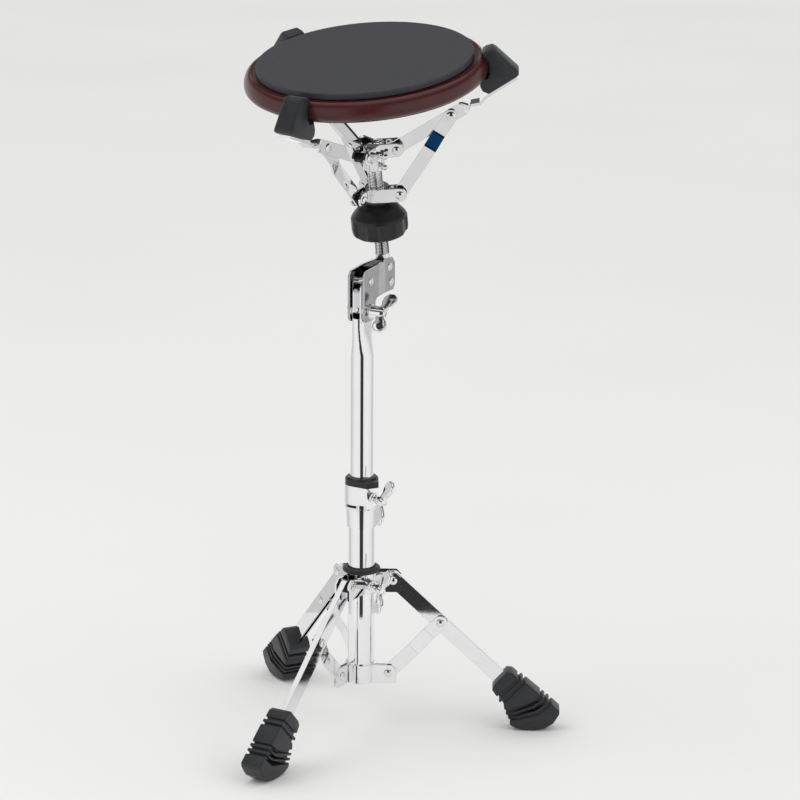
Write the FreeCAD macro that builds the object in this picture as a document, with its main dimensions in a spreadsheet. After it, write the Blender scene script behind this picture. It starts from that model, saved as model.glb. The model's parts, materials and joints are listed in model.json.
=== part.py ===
import FreeCAD, Part
import math
import os
import Sketcher

# Practice pad held in a three-armed basket on a folding tripod stand.
# Origin on the floor under the stand's centre line, +Z up, +X along the tilter hinge, -Y towards the player.
# The basket and the pad lean towards -Y; their own axis is called the rod axis below.

SIZES = {
    # clearances shared by every running fit
    "gap": 0.05,
    "pin_r": 2.0,
    "head_r": 4.0,
    "head_rise": 1.5,
    # tripod: tube, hubs, legs, braces, feet
    "lower_tube_r": 12.7,
    "lower_tube_bore_r": 11.2,
    "lower_tube_foot_z": 47.3,
    "lower_tube_top_z": 226.0,
    "leg_heading": 23.4,
    "leg_plane_w": -2.3,
    "leg_pivot_r": 30.4,
    "leg_pivot_z": 148.3,
    "leg_slope": 43.2,
    "leg_half_depth": 7.25,
    "leg_width": 5.8,
    "leg_wall": 1.4,
    "leg_span": 160.0,
    "leg_rivet_x": 62.2,
    "hub_ring_r": 15.2,
    "leg_hub_low_z": 137.0,
    "leg_hub_high_z": 156.0,
    "leg_boss_root": 13.5,
    "leg_boss_r": 5.5,
    "leg_boss_reach": 21.5,
    "leg_bolt_z": 147.0,
    "lug_reach": 37.7,
    "lug_root": 9.5,
    "lug_corner": 4.5,
    "leg_lug_w": 7.15,
    "lug_sheet": 2.0,
    "spacer_r": 5.5,
    "ring_section_r": 2.7,
    "brace_plane_w": 7.5,
    "brace_pin_radius": 26.2,
    "brace_pin_z": 57.3,
    "brace_hub_low_z": 47.3,
    "brace_hub_high_z": 65.3,
    "brace_lug_w": 2.05,
    "brace_lug_reach": 34.0,
    "brace_lug_root": 6.0,
    "brace_half_width": 6.8,
    "brace_sheet": 2.0,
    "brace_bend_low_x": 33.8,
    "brace_bend_high_x": 54.3,
    "brace_eye_r": 3.85,
    "foot_width": 22.0,
    # wing bolts
    "bolt_thread_r": 3.0,
    "wing_root_half": 4.0,
    "wing_tip_half": 7.0,
    "wing_tip_reach": 16.5,
    "wing_sheet": 3.4,
    # height clamp
    "clamp_heading": -35.8,
    "clamp_skirt_low_r": 14.3,
    "clamp_skirt_high_r": 15.4,
    "clamp_skirt_low_z": 201.4,
    "clamp_skirt_high_z": 219.5,
    "clamp_body_r": 16.5,
    "clamp_body_top_z": 243.0,
    "clamp_nose_low_z": 225.8,
    "clamp_nose_reach": 22.8,
    "clamp_nose_half": 6.6,
    "clamp_flat_angle": 62.0,
    "clamp_slit_z": 222.0,
    "clamp_slit_rise": 2.6,
    "clamp_bolt_z": 234.0,
    "bushing_r": 13.5,
    "bushing_top_z": 250.0,
    # upper tube and its flattened, slotted head
    "upper_tube_r": 11.1,
    "upper_tube_wall": 1.5,
    "upper_tube_low_z": 120.0,
    "flat_start_z": 368.0,
    "flat_end_z": 396.0,
    "head_half_x": 6.4,
    "head_half_y": 13.75,
    "head_shoulder_z": 430.0,
    "head_top_z": 447.0,
    "head_top_half_y": 6.0,
    "head_slot_half": 3.6,
    "head_slot_low_z": 404.0,
    # tilter
    "tilt_pivot_z": 438.5,
    "tilt_bolt_z": 409.5,
    "tilt_angle": 12.0,
    "rod_offset": 45.8,
    "cheek_sheet": 2.3,
    "cheek_narrow_half": 4.2,
    "cheek_bend_start": 17.0,
    "cheek_bend_end": 35.5,
    "cheek_slot_half": 3.3,
    "pivot_bolt_r": 3.0,
    # rod, knob, hubs (heights along the rod axis)
    "rod_r": 7.0,
    "rod_flat_half": 4.1,
    "rod_low": -24.0,
    "rod_flat_top": 6.0,
    "rod_top": 117.4,
    "rod_rivet_high": -4.0,
    "rod_rivet_low": -19.5,
    "knob_low": 29.0,
    "knob_high": 61.0,
    "knob_r": 26.7,
    "knob_recess_depth": 2.8,
    "knob_recess_half": 6.4,
    "knob_recess_heading": 10.2,
    "washer_r": 11.5,
    "arm_heading": 22.67,
    "arm_plane_w": -1.4,
    "arm_pin_radius": 22.1,
    "arm_pin_h": 113.3,
    "arm_slope": 28.1,
    "arm_sheet": 2.5,
    "arm_half_width": 6.4,
    "arm_rivet_x": 59.7,
    "arm_strip_end": 72.4,
    "arm_twist_end": 82.0,
    "hub_core_r": 11.6,
    "upper_core_top": 113.0,
    "nut_pocket_r": 9.6,
    "nut_half_flats": 8.1,
    "hub_half_height": 6.5,
    "hub_lug_sheet": 2.5,
    "upper_lug_w": 7.5,
    "upper_collar_r": 10.6,
    "upper_collar_low": 95.0,
    "key_bolt_r": 2.6,
    "key_bolt_heading": -27.0,
    "strut_plane_w": 5.9,
    "strut_pin_radius": 21.9,
    "strut_pin_h": 70.6,
    "strut_sheet": 2.2,
    "strut_half_width": 6.3,
    "strut_length": 88.4,
    "strut_bend_low_x": 52.4,
    "strut_bend_high_x": 68.3,
    "strut_eye_r": 4.0,
    "lower_lug_w": 4.85,
    "elbow_pin_r": 2.3,
    "elbow_head_r": 4.6,
    # pad and grips
    "pad_top_h": 204.0,
    "pad_rubber_r": 100.5,
    "pad_rubber_thick": 6.0,
    "rim_r": 112.6,
    "rim_low_h": 179.4,
    "mat_r": 105.8,
    "mat_thick": 1.2,
    "tip_half_width": 6.4,
    "tip_sheet": 2.4,
    "grip_width": 20.0,
}


class Size:
    """A length known both as a number and as the sheet formula that gives it."""

    def __init__(self, value, text=None):
        self.value = float(value)
        self.text = text if text is not None else "%r" % float(value)
        self.bound = text is not None

    def joined(self, other, sign, value):
        other = as_size(other)
        result = Size(value, "(%s %s %s)" % (self.text, sign, other.text))
        result.bound = self.bound or other.bound
        return result

    def __add__(self, other):
        return self.joined(other, "+", self.value + as_size(other).value)

    def __sub__(self, other):
        return self.joined(other, "-", self.value - as_size(other).value)

    def __mul__(self, other):
        return self.joined(other, "*", self.value * as_size(other).value)

    def __truediv__(self, other):
        return self.joined(other, "/", self.value / as_size(other).value)

    def __neg__(self):
        return self * -1.0


def as_size(amount):
    return amount if isinstance(amount, Size) else Size(amount)


doc = FreeCAD.newDocument("practice_pad")
sheet = doc.addObject("Spreadsheet::Sheet", "Sizes")
for row, (alias, number) in enumerate(SIZES.items(), start=1):
    sheet.set("A%d" % row, alias)
    sheet.set("B%d" % row, str(number))
    sheet.setAlias("B%d" % row, alias)
doc.recompute()

NODES = {}


def size(alias):
    return Size(SIZES[alias], "Sizes." + alias)


def bind(item, prop, amount):
    """Give a length property its number and, where it comes from the sheet, its formula."""
    amount = as_size(amount)
    setattr(item, prop, amount.value)
    if amount.bound:
        item.setExpression(prop, amount.text)


def node(label, item):
    item.Label = label
    NODES[label] = item
    return item


# Frames: one for each station round the stand and round the rod.
def turned(axis, degrees):
    return FreeCAD.Placement(FreeCAD.Vector(0, 0, 0), FreeCAD.Rotation(axis, degrees))


def moved(x, y, z):
    return FreeCAD.Placement(FreeCAD.Vector(x, y, z), FreeCAD.Rotation())


X_AXIS = FreeCAD.Vector(1, 0, 0)
Y_AXIS = FreeCAD.Vector(0, 1, 0)
Z_AXIS = FreeCAD.Vector(0, 0, 1)
STAND = moved(0, 0, 0)
TILT = moved(0, 0, SIZES["tilt_pivot_z"]).multiply(turned(X_AXIS, SIZES["tilt_angle"]))
ROD = TILT.multiply(moved(0, SIZES["rod_offset"], 0))
LEG_SIDES = ("a", "b", "c")
LEG_TURNS = (0.0, 120.0, 240.0)
# The basket is not quite even: its rear arm stands nine degrees further round than a third of a turn.
ARM_TURNS = (0.0, 129.0, 240.0)


def station(frame, heading, radius=0.0, height=0.0, across=0.0, slope=0.0):
    """A plane standing on a heading: x outwards, y up, z sideways (clockwise), tipped down by slope."""
    place = frame.multiply(turned(Z_AXIS, heading))
    place = place.multiply(moved(radius, -across, height))
    place = place.multiply(turned(X_AXIS, 90.0))
    return place.multiply(turned(Z_AXIS, -slope))


def radial_place(frame, heading, radius, height):
    """A frame whose z points outwards along a heading."""
    place = frame.multiply(turned(Z_AXIS, heading)).multiply(moved(radius, 0, height))
    return place.multiply(turned(Y_AXIS, 90.0))


def leg_heading(turn):
    return SIZES["leg_heading"] + turn


LEG_BOLT_HEADING = leg_heading(-60.0)


def arm_heading(turn):
    return SIZES["arm_heading"] + turn


# Sketch helpers: every corner is held by its two coordinates.
def sketch_on(body, role, name):
    sketch = body.newObject("Sketcher::SketchObject", name)
    plane = [feature for feature in body.Origin.OriginFeatures if feature.Role == role][0]
    sketch.AttachmentSupport = [(plane, "")]
    sketch.MapMode = "FlatFace"
    return sketch


def constrain(sketch, kind, amount, *where):
    index = sketch.addConstraint(Sketcher.Constraint(kind, *where, amount.value))
    if amount.bound:
        sketch.setExpression("Constraints[%d]" % index, amount.text)


def hold(sketch, item, vertex, x, y):
    constrain(sketch, "DistanceX", as_size(x), -1, 1, item, vertex)
    constrain(sketch, "DistanceY", as_size(y), -1, 1, item, vertex)


def add_outline(sketch, points):
    first = sketch.GeometryCount
    count = len(points)
    corners = [FreeCAD.Vector(as_size(x).value, as_size(y).value, 0) for x, y in points]
    for index in range(count):
        sketch.addGeometry(Part.LineSegment(corners[index], corners[(index + 1) % count]), False)
    for index in range(count):
        following = first + (index + 1) % count
        sketch.addConstraint(Sketcher.Constraint("Coincident", first + index, 2, following, 1))
    for index, (x, y) in enumerate(points):
        hold(sketch, first + index, 1, x, y)


def add_circle(sketch, x, y, radius):
    centre = FreeCAD.Vector(as_size(x).value, as_size(y).value, 0)
    item = sketch.addGeometry(Part.Circle(centre, Z_AXIS, as_size(radius).value), False)
    hold(sketch, item, 3, x, y)
    constrain(sketch, "Radius", as_size(radius), item)


def add_round_bar(sketch, x_from, x_to, half):
    """A bar outline along x with a half-round at each end."""
    start, end, half = as_size(x_from), as_size(x_to), as_size(half)
    low, high, reach = start.value, end.value, half.value
    lines = (
        Part.LineSegment(FreeCAD.Vector(low, reach, 0), FreeCAD.Vector(high, reach, 0)),
        Part.LineSegment(FreeCAD.Vector(high, -reach, 0), FreeCAD.Vector(low, -reach, 0)),
    )
    far_round = Part.Circle(FreeCAD.Vector(high, 0, 0), Z_AXIS, reach)
    near_round = Part.Circle(FreeCAD.Vector(low, 0, 0), Z_AXIS, reach)
    top = sketch.addGeometry(lines[0], False)
    far = sketch.addGeometry(Part.ArcOfCircle(far_round, -math.pi / 2, math.pi / 2), False)
    under = sketch.addGeometry(lines[1], False)
    near = sketch.addGeometry(Part.ArcOfCircle(near_round, math.pi / 2, 3 * math.pi / 2), False)
    for first, first_end, second, second_end in (
        (top, 2, far, 2),
        (far, 1, under, 1),
        (under, 2, near, 2),
        (near, 1, top, 1),
    ):
        sketch.addConstraint(Sketcher.Constraint("Tangent", first, first_end, second, second_end))
    hold(sketch, near, 3, start, 0.0)
    constrain(sketch, "DistanceX", end, -1, 1, far, 3)
    constrain(sketch, "Radius", half, near)
    sketch.addConstraint(Sketcher.Constraint("Equal", near, far))


# Body helpers.
def new_body(name):
    body = doc.addObject("PartDesign::Body", name)
    body.Label = name
    return body


def pad_sketch(body, sketch, length, centred=True):
    feature = body.newObject("PartDesign::Pad", sketch.Name + "_pad")
    feature.Profile = sketch
    if centred:
        feature.SideType = "Symmetric"
    bind(feature, "Length", length)
    return feature


def plate(name, points, thickness, place, holes=(), role="XY_Plane", centred=True):
    """A flat plate from a straight-sided outline, with round holes given as (x, y, radius)."""
    body = new_body(name)
    sketch = sketch_on(body, role, name + "_outline")
    add_outline(sketch, points)
    for x, y, radius in holes:
        add_circle(sketch, x, y, radius)
    pad_sketch(body, sketch, thickness, centred)
    body.Placement = place
    return body


def bar(name, x_from, x_to, half, thickness, place, holes=()):
    """A flat bar with round ends, with round holes given as (x, radius)."""
    body = new_body(name)
    sketch = sketch_on(body, "XY_Plane", name + "_outline")
    add_round_bar(sketch, x_from, x_to, half)
    for x, radius in holes:
        add_circle(sketch, x, 0.0, radius)
    pad_sketch(body, sketch, thickness)
    body.Placement = place
    return body


def turning(name, points, place):
    """A solid of revolution about z from (radius, height) corners."""
    body = new_body(name)
    sketch = sketch_on(body, "XZ_Plane", name + "_profile")
    add_outline(sketch, points)
    feature = body.newObject("PartDesign::Revolution", name + "_turn")
    feature.Profile = sketch
    feature.ReferenceAxis = (sketch, ["V_Axis"])
    feature.Angle = 360.0
    body.Placement = place
    return body


def cylinder(name, radius, height, place):
    item = doc.addObject("Part::Cylinder", name)
    bind(item, "Radius", radius)
    bind(item, "Height", height)
    item.Placement = place
    return item


def box(name, length, width, height, place):
    item = doc.addObject("Part::Box", name)
    bind(item, "Length", length)
    bind(item, "Width", width)
    bind(item, "Height", height)
    item.Placement = place
    return item


def fuse(name, items):
    item = doc.addObject("Part::MultiFuse", name)
    item.Shapes = list(items)
    item.Refine = True
    return item


def cut(name, base, tool):
    item = doc.addObject("Part::Cut", name)
    item.Base = base
    item.Tool = tool
    return item


def common(name, first, second):
    item = doc.addObject("Part::Common", name)
    item.Base = first
    item.Tool = second
    return item


def group(name, items):
    item = doc.addObject("Part::Compound", name)
    item.Links = list(items)
    return item


def pin(name, low, high, shank_r, head_r, head_rise, place):
    """A rivet along z with a domed head beyond each of its two seats."""
    low, high, rise = as_size(low), as_size(high), as_size(head_rise)
    crown = as_size(head_r) * 0.55
    brow = as_size(head_r) * 0.88
    points = (
        (0.0, low - rise),
        (crown, low - rise),
        (brow, low - rise * 0.6),
        (head_r, low - rise * 0.15),
        (head_r, low),
        (shank_r, low),
        (shank_r, high),
        (head_r, high),
        (head_r, high + rise * 0.15),
        (brow, high + rise * 0.6),
        (crown, high + rise),
        (0.0, high + rise),
    )
    return turning(name, points, place)


def washer(name, inner_r, outer_r, low, high, place):
    return turning(name, ((inner_r, low), (outer_r, low), (outer_r, high), (inner_r, high)), place)


# Stand: lower tube, brace hub, leg hub, legs, feet, braces.
def make_lower_tube():
    inner, outer = size("lower_tube_bore_r"), size("lower_tube_r")
    foot, top = size("lower_tube_foot_z"), size("lower_tube_top_z")
    points = ((inner, foot), (outer, foot), (outer, top), (inner, top))
    node("lower_tube", turning("lower_tube", points, STAND))


def lug_plates(name, frame, headings, planes, points, sheet_size, holes):
    plates = []
    for side, heading in zip(LEG_SIDES, headings):
        for label, across in zip(("near", "far"), planes):
            place = station(frame, heading, across=across)
            plates.append(plate("%s_lug_%s_%s" % (name, side, label), points, sheet_size, place, holes))
    return plates


def make_leg_hub():
    low, high = size("leg_hub_low_z"), size("leg_hub_high_z")
    root, reach, corner = size("lug_root"), size("lug_reach"), size("lug_corner")
    points = ((root, low), (reach, low), (reach, high - corner), (reach - corner, high), (root, high))
    headings = [leg_heading(turn) for turn in LEG_TURNS]
    middle, half = SIZES["leg_plane_w"], SIZES["leg_lug_w"]
    hole = ((size("leg_pivot_r"), size("leg_pivot_z"), size("pin_r") + size("gap")),)
    planes = (middle + half, middle - half)
    plates = lug_plates("leg_hub", STAND, headings, planes, points, size("lug_sheet"), hole)
    ring = cylinder("leg_hub_ring", size("hub_ring_r"), high - low, moved(0, 0, low.value))
    boss_place = radial_place(STAND, LEG_BOLT_HEADING, SIZES["leg_boss_root"], SIZES["leg_bolt_z"])
    boss_length = size("leg_boss_reach") - size("leg_boss_root")
    boss = cylinder("leg_hub_boss", size("leg_boss_r"), boss_length, boss_place)
    solid = fuse("leg_hub_solid", [ring, boss] + plates)
    bore = cylinder("leg_hub_bore", size("lower_tube_r") + size("gap"), 60.0, moved(0, 0, 120.0))
    thread_place = radial_place(STAND, LEG_BOLT_HEADING, 5.0, SIZES["leg_bolt_z"])
    thread = cylinder("leg_hub_thread", size("bolt_thread_r") + size("gap"), 20.0, thread_place)
    node("leg_hub", cut("leg_hub", solid, fuse("leg_hub_tools", [bore, thread])))


def make_brace_hub():
    low, high = size("brace_hub_low_z"), size("brace_hub_high_z")
    root, reach, corner = size("brace_lug_root"), size("brace_lug_reach"), size("lug_corner")
    points = ((root, low), (reach, low), (reach, high - corner), (reach - corner, high), (root, high))
    headings = [leg_heading(turn) for turn in LEG_TURNS]
    middle, half = SIZES["brace_plane_w"], SIZES["brace_lug_w"]
    hole = ((size("brace_pin_radius"), size("brace_pin_z"), size("pin_r") + size("gap")),)
    planes = (middle + half, middle - half)
    plates = lug_plates("brace_hub", STAND, headings, planes, points, size("lug_sheet"), hole)
    ring = cylinder("brace_hub_ring", size("hub_ring_r"), high - low, moved(0, 0, low.value))
    solid = fuse("brace_hub_solid", [ring] + plates)
    bore = cylinder("brace_hub_bore", size("lower_tube_r") + 0.01, 60.0, moved(0, 0, 30.0))
    node("brace_hub", cut("brace_hub", solid, bore))


def make_stop_ring():
    item = doc.addObject("Part::Torus", "stop_ring")
    section = size("ring_section_r")
    bind(item, "Radius1", size("lower_tube_r") + section + size("gap"))
    bind(item, "Radius2", section)
    item.Placement = moved(0, 0, SIZES["leg_hub_high_z"] + SIZES["ring_section_r"] + 0.05)
    node("stop_ring", item)


def leg_place(turn, across=0.0):
    pivot_r, pivot_z = SIZES["leg_pivot_r"], SIZES["leg_pivot_z"]
    plane = SIZES["leg_plane_w"] + across
    return station(STAND, leg_heading(turn), pivot_r, pivot_z, plane, SIZES["leg_slope"])


def make_leg(side, turn):
    name = "leg_" + side
    half, width = size("leg_half_depth"), size("leg_width")
    hole = size("pin_r") + size("gap")
    holes = ((0.0, hole), (size("leg_rivet_x"), hole))
    solid = bar(name + "_bar", 0.0, size("leg_span") - half, half, width, leg_place(turn), holes)
    inside = width - size("leg_wall") * 2.0
    corner = leg_place(turn).multiply(moved(-20.0, -20.0, -inside.value / 2))
    channel = box(name + "_channel", 220.0, half - size("leg_wall") + 20.0, inside, corner)
    node(name, cut(name, solid, channel))


# Foot side outline as (radius, height): socket, cap, ribbed back, toe, rocker sole with a flat middle.
FOOT_OUTLINE = (
    (126.1, 40.7),
    (127.7, 46.0),
    (139.8, 58.8),
    (145.1, 58.3),
    (150.8, 53.8),
    (158.2, 49.0),
    (172.9, 36.7),
    (191.2, 21.0),
    (190.9, 16.8),
    (184.5, 7.0),
    (176.5, 2.0),
    (168.0, 0.0),
    (158.5, 0.0),
    (149.5, 2.0),
    (143.0, 8.5),
    (138.5, 18.5),
    (133.5, 28.0),
)


def make_foot(side, turn):
    name = "foot_" + side
    place = station(STAND, leg_heading(turn), across=SIZES["leg_plane_w"])
    block = plate(name + "_block", FOOT_OUTLINE, size("foot_width"), place)
    gap = size("gap")
    half = size("leg_half_depth")
    seat_width = size("leg_width") + gap * 2.0
    seat = bar(name + "_seat", 0.0, size("leg_span") - half, half + gap, seat_width, leg_place(turn))
    node(name, cut(name, block, seat))


# Depth of a plate used only to crop another one; wider than any strap's sideways joggle.
MASK_DEPTH = 40.0


def joggled(name, length, half, sheet_size, low_w, high_w, bend_low, bend_high, place, eye_low, eye_high):
    """A strap with a sideways joggle: low_w at its first eye, high_w beyond the bend."""
    thick = sheet_size / 2.0
    start, end = -(half * 1.2), length + half * 1.2
    side = (
        (start, low_w - thick),
        (bend_low, low_w - thick),
        (bend_high, high_w - thick),
        (end, high_w - thick),
        (end, high_w + thick),
        (bend_high, high_w + thick),
        (bend_low, low_w + thick),
        (start, low_w + thick),
    )
    on_edge = place.multiply(turned(X_AXIS, 90.0))
    ribbon = plate(name + "_ribbon", side, half * 2.4, on_edge)
    mask = bar(name + "_mask", 0.0, length, half, MASK_DEPTH, place, ((0.0, eye_low), (length, eye_high)))
    return common(name, ribbon, mask)


def brace_place(turn):
    leg_rivet_r = SIZES["leg_pivot_r"] + SIZES["leg_rivet_x"] * math.cos(math.radians(SIZES["leg_slope"]))
    leg_rivet_z = SIZES["leg_pivot_z"] - SIZES["leg_rivet_x"] * math.sin(math.radians(SIZES["leg_slope"]))
    run = leg_rivet_r - SIZES["brace_pin_radius"]
    rise = leg_rivet_z - SIZES["brace_pin_z"]
    slope = -math.degrees(math.atan2(rise, run))
    place = station(STAND, leg_heading(turn), SIZES["brace_pin_radius"], SIZES["brace_pin_z"], 0.0, slope)
    return place, math.hypot(run, rise)


def make_brace(side, turn):
    place, length = brace_place(turn)
    sheet_size = size("brace_sheet")
    high_w = size("leg_plane_w") + size("leg_width") / 2.0 + size("gap") + sheet_size / 2.0
    item = joggled(
        "brace_" + side,
        as_size(length),
        size("brace_half_width"),
        sheet_size,
        size("brace_plane_w"),
        high_w,
        size("brace_bend_low_x"),
        size("brace_bend_high_x"),
        place,
        size("pin_r") + size("gap"),
        size("brace_eye_r"),
    )
    node("brace_" + side, item)


def make_leg_rivet(side, turn):
    half = size("leg_width") / 2.0
    place = leg_place(turn).multiply(moved(SIZES["leg_rivet_x"], 0, 0))
    far = half + size("gap") + size("brace_sheet") + size("gap")
    name = "leg_rivet_" + side
    node(name, pin(name, -half - 0.02, far, size("pin_r"), size("head_r"), size("head_rise"), place))


def make_hub_pins():
    upper, lower, spacers = [], [], []
    reach = size("lug_sheet") / 2.0 + 0.02
    stack, brace_stack = size("leg_lug_w") + reach, size("brace_lug_w") + reach
    inner = size("leg_width") / 2.0 + size("gap")
    outer = size("leg_lug_w") - size("lug_sheet") / 2.0 - size("gap")
    pin_r, head_r, rise = size("pin_r"), size("head_r"), size("head_rise")
    bore = pin_r + size("gap")
    brace_r, brace_z, brace_w = SIZES["brace_pin_radius"], SIZES["brace_pin_z"], SIZES["brace_plane_w"]
    for side, turn in zip(LEG_SIDES, LEG_TURNS):
        place = leg_place(turn)
        upper.append(pin("hub_pin_" + side, -stack, stack, pin_r, head_r, rise, place))
        at_brace = station(STAND, leg_heading(turn), brace_r, brace_z, brace_w)
        lower.append(pin("brace_pin_" + side, -brace_stack, brace_stack, pin_r, head_r, rise, at_brace))
        spacers.append(washer("spacer_near_" + side, bore, size("spacer_r"), inner, outer, place))
        spacers.append(washer("spacer_far_" + side, bore, size("spacer_r"), -outer, -inner, place))
    node("leg_hub_rivets", group("leg_hub_rivets", upper))
    node("brace_hub_rivets", group("brace_hub_rivets", lower))
    node("leg_pivot_spacers", group("leg_pivot_spacers", spacers))


# Wing bolts: z runs outwards from the seat face, the wings spread along x.
def slim_barrel(depth):
    """Collar on the seat, bare thread, then the barrel that carries the wings."""
    thread = size("bolt_thread_r")
    return (
        (0.0, -depth),
        (thread, -depth),
        (thread, 0.0),
        (5.2, 0.0),
        (5.2, 2.6),
        (thread, 2.6),
        (thread, 10.5),
        (4.4, 11.5),
        (4.8, 19.0),
        (3.4, 21.4),
        (0.0, 21.8),
    )


def stout_barrel(depth):
    """Washer on the seat with a wide barrel straight on it."""
    thread = size("bolt_thread_r")
    return (
        (0.0, -depth),
        (thread, -depth),
        (thread, 0.0),
        (7.4, 0.0),
        (7.4, 1.4),
        (6.2, 1.4),
        (5.8, 12.0),
        (4.4, 15.0),
        (0.0, 15.6),
    )


def wing_bolt(name, profile, wing_height, sweep, place, roll):
    place = place.multiply(turned(Z_AXIS, roll))
    parts = [turning(name + "_barrel", profile, place)]
    tip = size("wing_tip_reach")
    for label, flip in (("left", 0.0), ("right", 180.0)):
        wing = place.multiply(turned(Z_AXIS, flip)).multiply(moved(0, 0, wing_height))
        wing = wing.multiply(turned(X_AXIS, 90.0)).multiply(turned(Z_AXIS, sweep))
        root_name, tip_name = "%s_%s_root" % (name, label), "%s_%s_tip" % (name, label)
        parts.append(bar(root_name, 1.0, tip - 4.0, size("wing_root_half"), size("wing_sheet"), wing))
        parts.append(bar(tip_name, tip - 1.5, tip, size("wing_tip_half"), size("wing_sheet"), wing))
    return node(name, fuse(name, parts))


def make_wing_bolts():
    seat = radial_place(STAND, LEG_BOLT_HEADING, SIZES["leg_boss_reach"] + 0.02, SIZES["leg_bolt_z"])
    depth = SIZES["leg_boss_reach"] - SIZES["lower_tube_r"] - 0.1
    wing_bolt("leg_hub_wing_bolt", slim_barrel(depth), 16.0, 26.0, seat, -20.0)
    nose = SIZES["clamp_nose_reach"]
    clamp = radial_place(STAND, SIZES["clamp_heading"], nose + 0.02, SIZES["clamp_bolt_z"])
    depth = nose - SIZES["bushing_r"] - 0.2
    wing_bolt("height_wing_bolt", slim_barrel(depth), 15.5, 24.0, clamp, -21.0)


# Height clamp: tapered skirt, round body, pointed nose with the wing bolt.
def nose_outline(shrink):
    angle = math.radians(SIZES["clamp_flat_angle"])
    radius = size("clamp_body_r") - shrink
    reach, half = size("clamp_nose_reach") - shrink, size("clamp_nose_half") - shrink * 0.5
    across, along = radius * math.sin(angle), radius * math.cos(angle)
    return ((0.0, 0.0), (along, -across), (reach, -half), (reach, half), (along, across))


def make_clamp():
    heading = turned(Z_AXIS, SIZES["clamp_heading"])
    gap = size("gap")
    grip_r = size("lower_tube_r") + 0.01
    step_z = size("lower_tube_top_z") + 0.05
    points = (
        (grip_r, size("clamp_skirt_low_z")),
        (size("clamp_skirt_low_r"), size("clamp_skirt_low_z")),
        (size("clamp_skirt_high_r"), size("clamp_skirt_high_z")),
        (size("clamp_body_r"), size("clamp_skirt_high_z") + 1.5),
        (size("clamp_body_r"), size("clamp_body_top_z")),
        (size("bushing_r") + gap, size("clamp_body_top_z")),
        (size("bushing_r") + gap, step_z),
        (grip_r, step_z),
    )
    round_part = turning("clamp_round", points, STAND)
    low = SIZES["clamp_nose_low_z"]
    nose = plate(
        "clamp_nose",
        nose_outline(0.0),
        size("clamp_body_top_z") - size("clamp_nose_low_z"),
        moved(0, 0, low).multiply(heading),
        centred=False,
    )
    bore = cylinder("clamp_bore", size("bushing_r") + gap, 60.0, moved(0, 0, low - 10.0))
    nose_only = cut("clamp_nose_hollow", nose, bore)
    slit_place = turned(Z_AXIS, SIZES["clamp_heading"] - 90.0)
    slit_place = slit_place.multiply(moved(10.8, -20.0, SIZES["clamp_slit_z"]))
    slit = box("clamp_slit", 12.0, 40.0, size("clamp_slit_rise"), slit_place)
    thread_place = radial_place(STAND, SIZES["clamp_heading"], 9.0, SIZES["clamp_bolt_z"])
    thread = cylinder("clamp_thread", size("bolt_thread_r") + gap, 20.0, thread_place)
    solid = fuse("clamp_solid", [round_part, nose_only])
    node("height_clamp", cut("height_clamp", solid, fuse("clamp_tools", [slit, thread])))

    bore_r = size("upper_tube_r") + gap
    sleeve = (
        (bore_r, size("lower_tube_top_z") + 0.15),
        (size("bushing_r"), size("lower_tube_top_z") + 0.15),
        (size("bushing_r"), size("clamp_body_top_z") + 0.05),
        (size("clamp_body_r") - 0.8, size("clamp_body_top_z") + 0.05),
        (size("clamp_body_r") - 0.8, size("bushing_top_z") - 1.5),
        (size("clamp_body_r") - 2.3, size("bushing_top_z")),
        (bore_r, size("bushing_top_z")),
    )
    collar = turning("bushing_round", sleeve, STAND)
    point_low = size("clamp_body_top_z") + 0.05
    beak = plate(
        "bushing_beak",
        nose_outline(0.8),
        size("bushing_top_z") - 1.5 - point_low,
        moved(0, 0, point_low.value).multiply(heading),
        centred=False,
    )
    beak_bore = cylinder("bushing_bore", bore_r, 20.0, moved(0, 0, 240.0))
    beak_only = cut("bushing_beak_hollow", beak, beak_bore)
    node("height_bushing", fuse("height_bushing", [collar, beak_only]))


# Upper tube: round below, pressed flat and slotted at the head.
def pressed_section(half_x, half_y, z):
    """Four-sided section: two flats facing x joined by half-rounds, or a full circle when equal."""
    flat = max(half_y - half_x, 0.0)
    turn = math.radians(45.0) if flat == 0.0 else math.pi / 2
    points = []
    for sign_x, sign_y in ((1, -1), (1, 1), (-1, 1), (-1, -1)):
        x = half_x * math.sin(turn) * sign_x
        y = (flat + half_x * math.cos(turn)) * sign_y
        points.append(FreeCAD.Vector(x, y, z))
    if flat == 0.0:
        flank_a = Part.Arc(points[0], FreeCAD.Vector(half_x, 0, z), points[1]).toShape()
        flank_b = Part.Arc(points[2], FreeCAD.Vector(-half_x, 0, z), points[3]).toShape()
    else:
        flank_a = Part.makeLine(points[0], points[1])
        flank_b = Part.makeLine(points[2], points[3])
    end_a = Part.Arc(points[1], FreeCAD.Vector(0, half_y, z), points[2]).toShape()
    end_b = Part.Arc(points[3], FreeCAD.Vector(0, -half_y, z), points[0]).toShape()
    return Part.Wire([flank_a, end_a, flank_b, end_b])


def pressed_head(inset):
    radius = SIZES["upper_tube_r"] - inset
    half_x, half_y = SIZES["head_half_x"] - inset, SIZES["head_half_y"] - inset
    start, end, top = SIZES["flat_start_z"], SIZES["flat_end_z"], SIZES["head_top_z"]
    round_end = pressed_section(radius, radius, start)
    flat_end = pressed_section(half_x, half_y, end)
    neck = Part.makeLoft([round_end, flat_end], True, False)
    head = Part.Face(flat_end).extrude(FreeCAD.Vector(0, 0, top - end + 1.0))
    return neck, head


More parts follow.
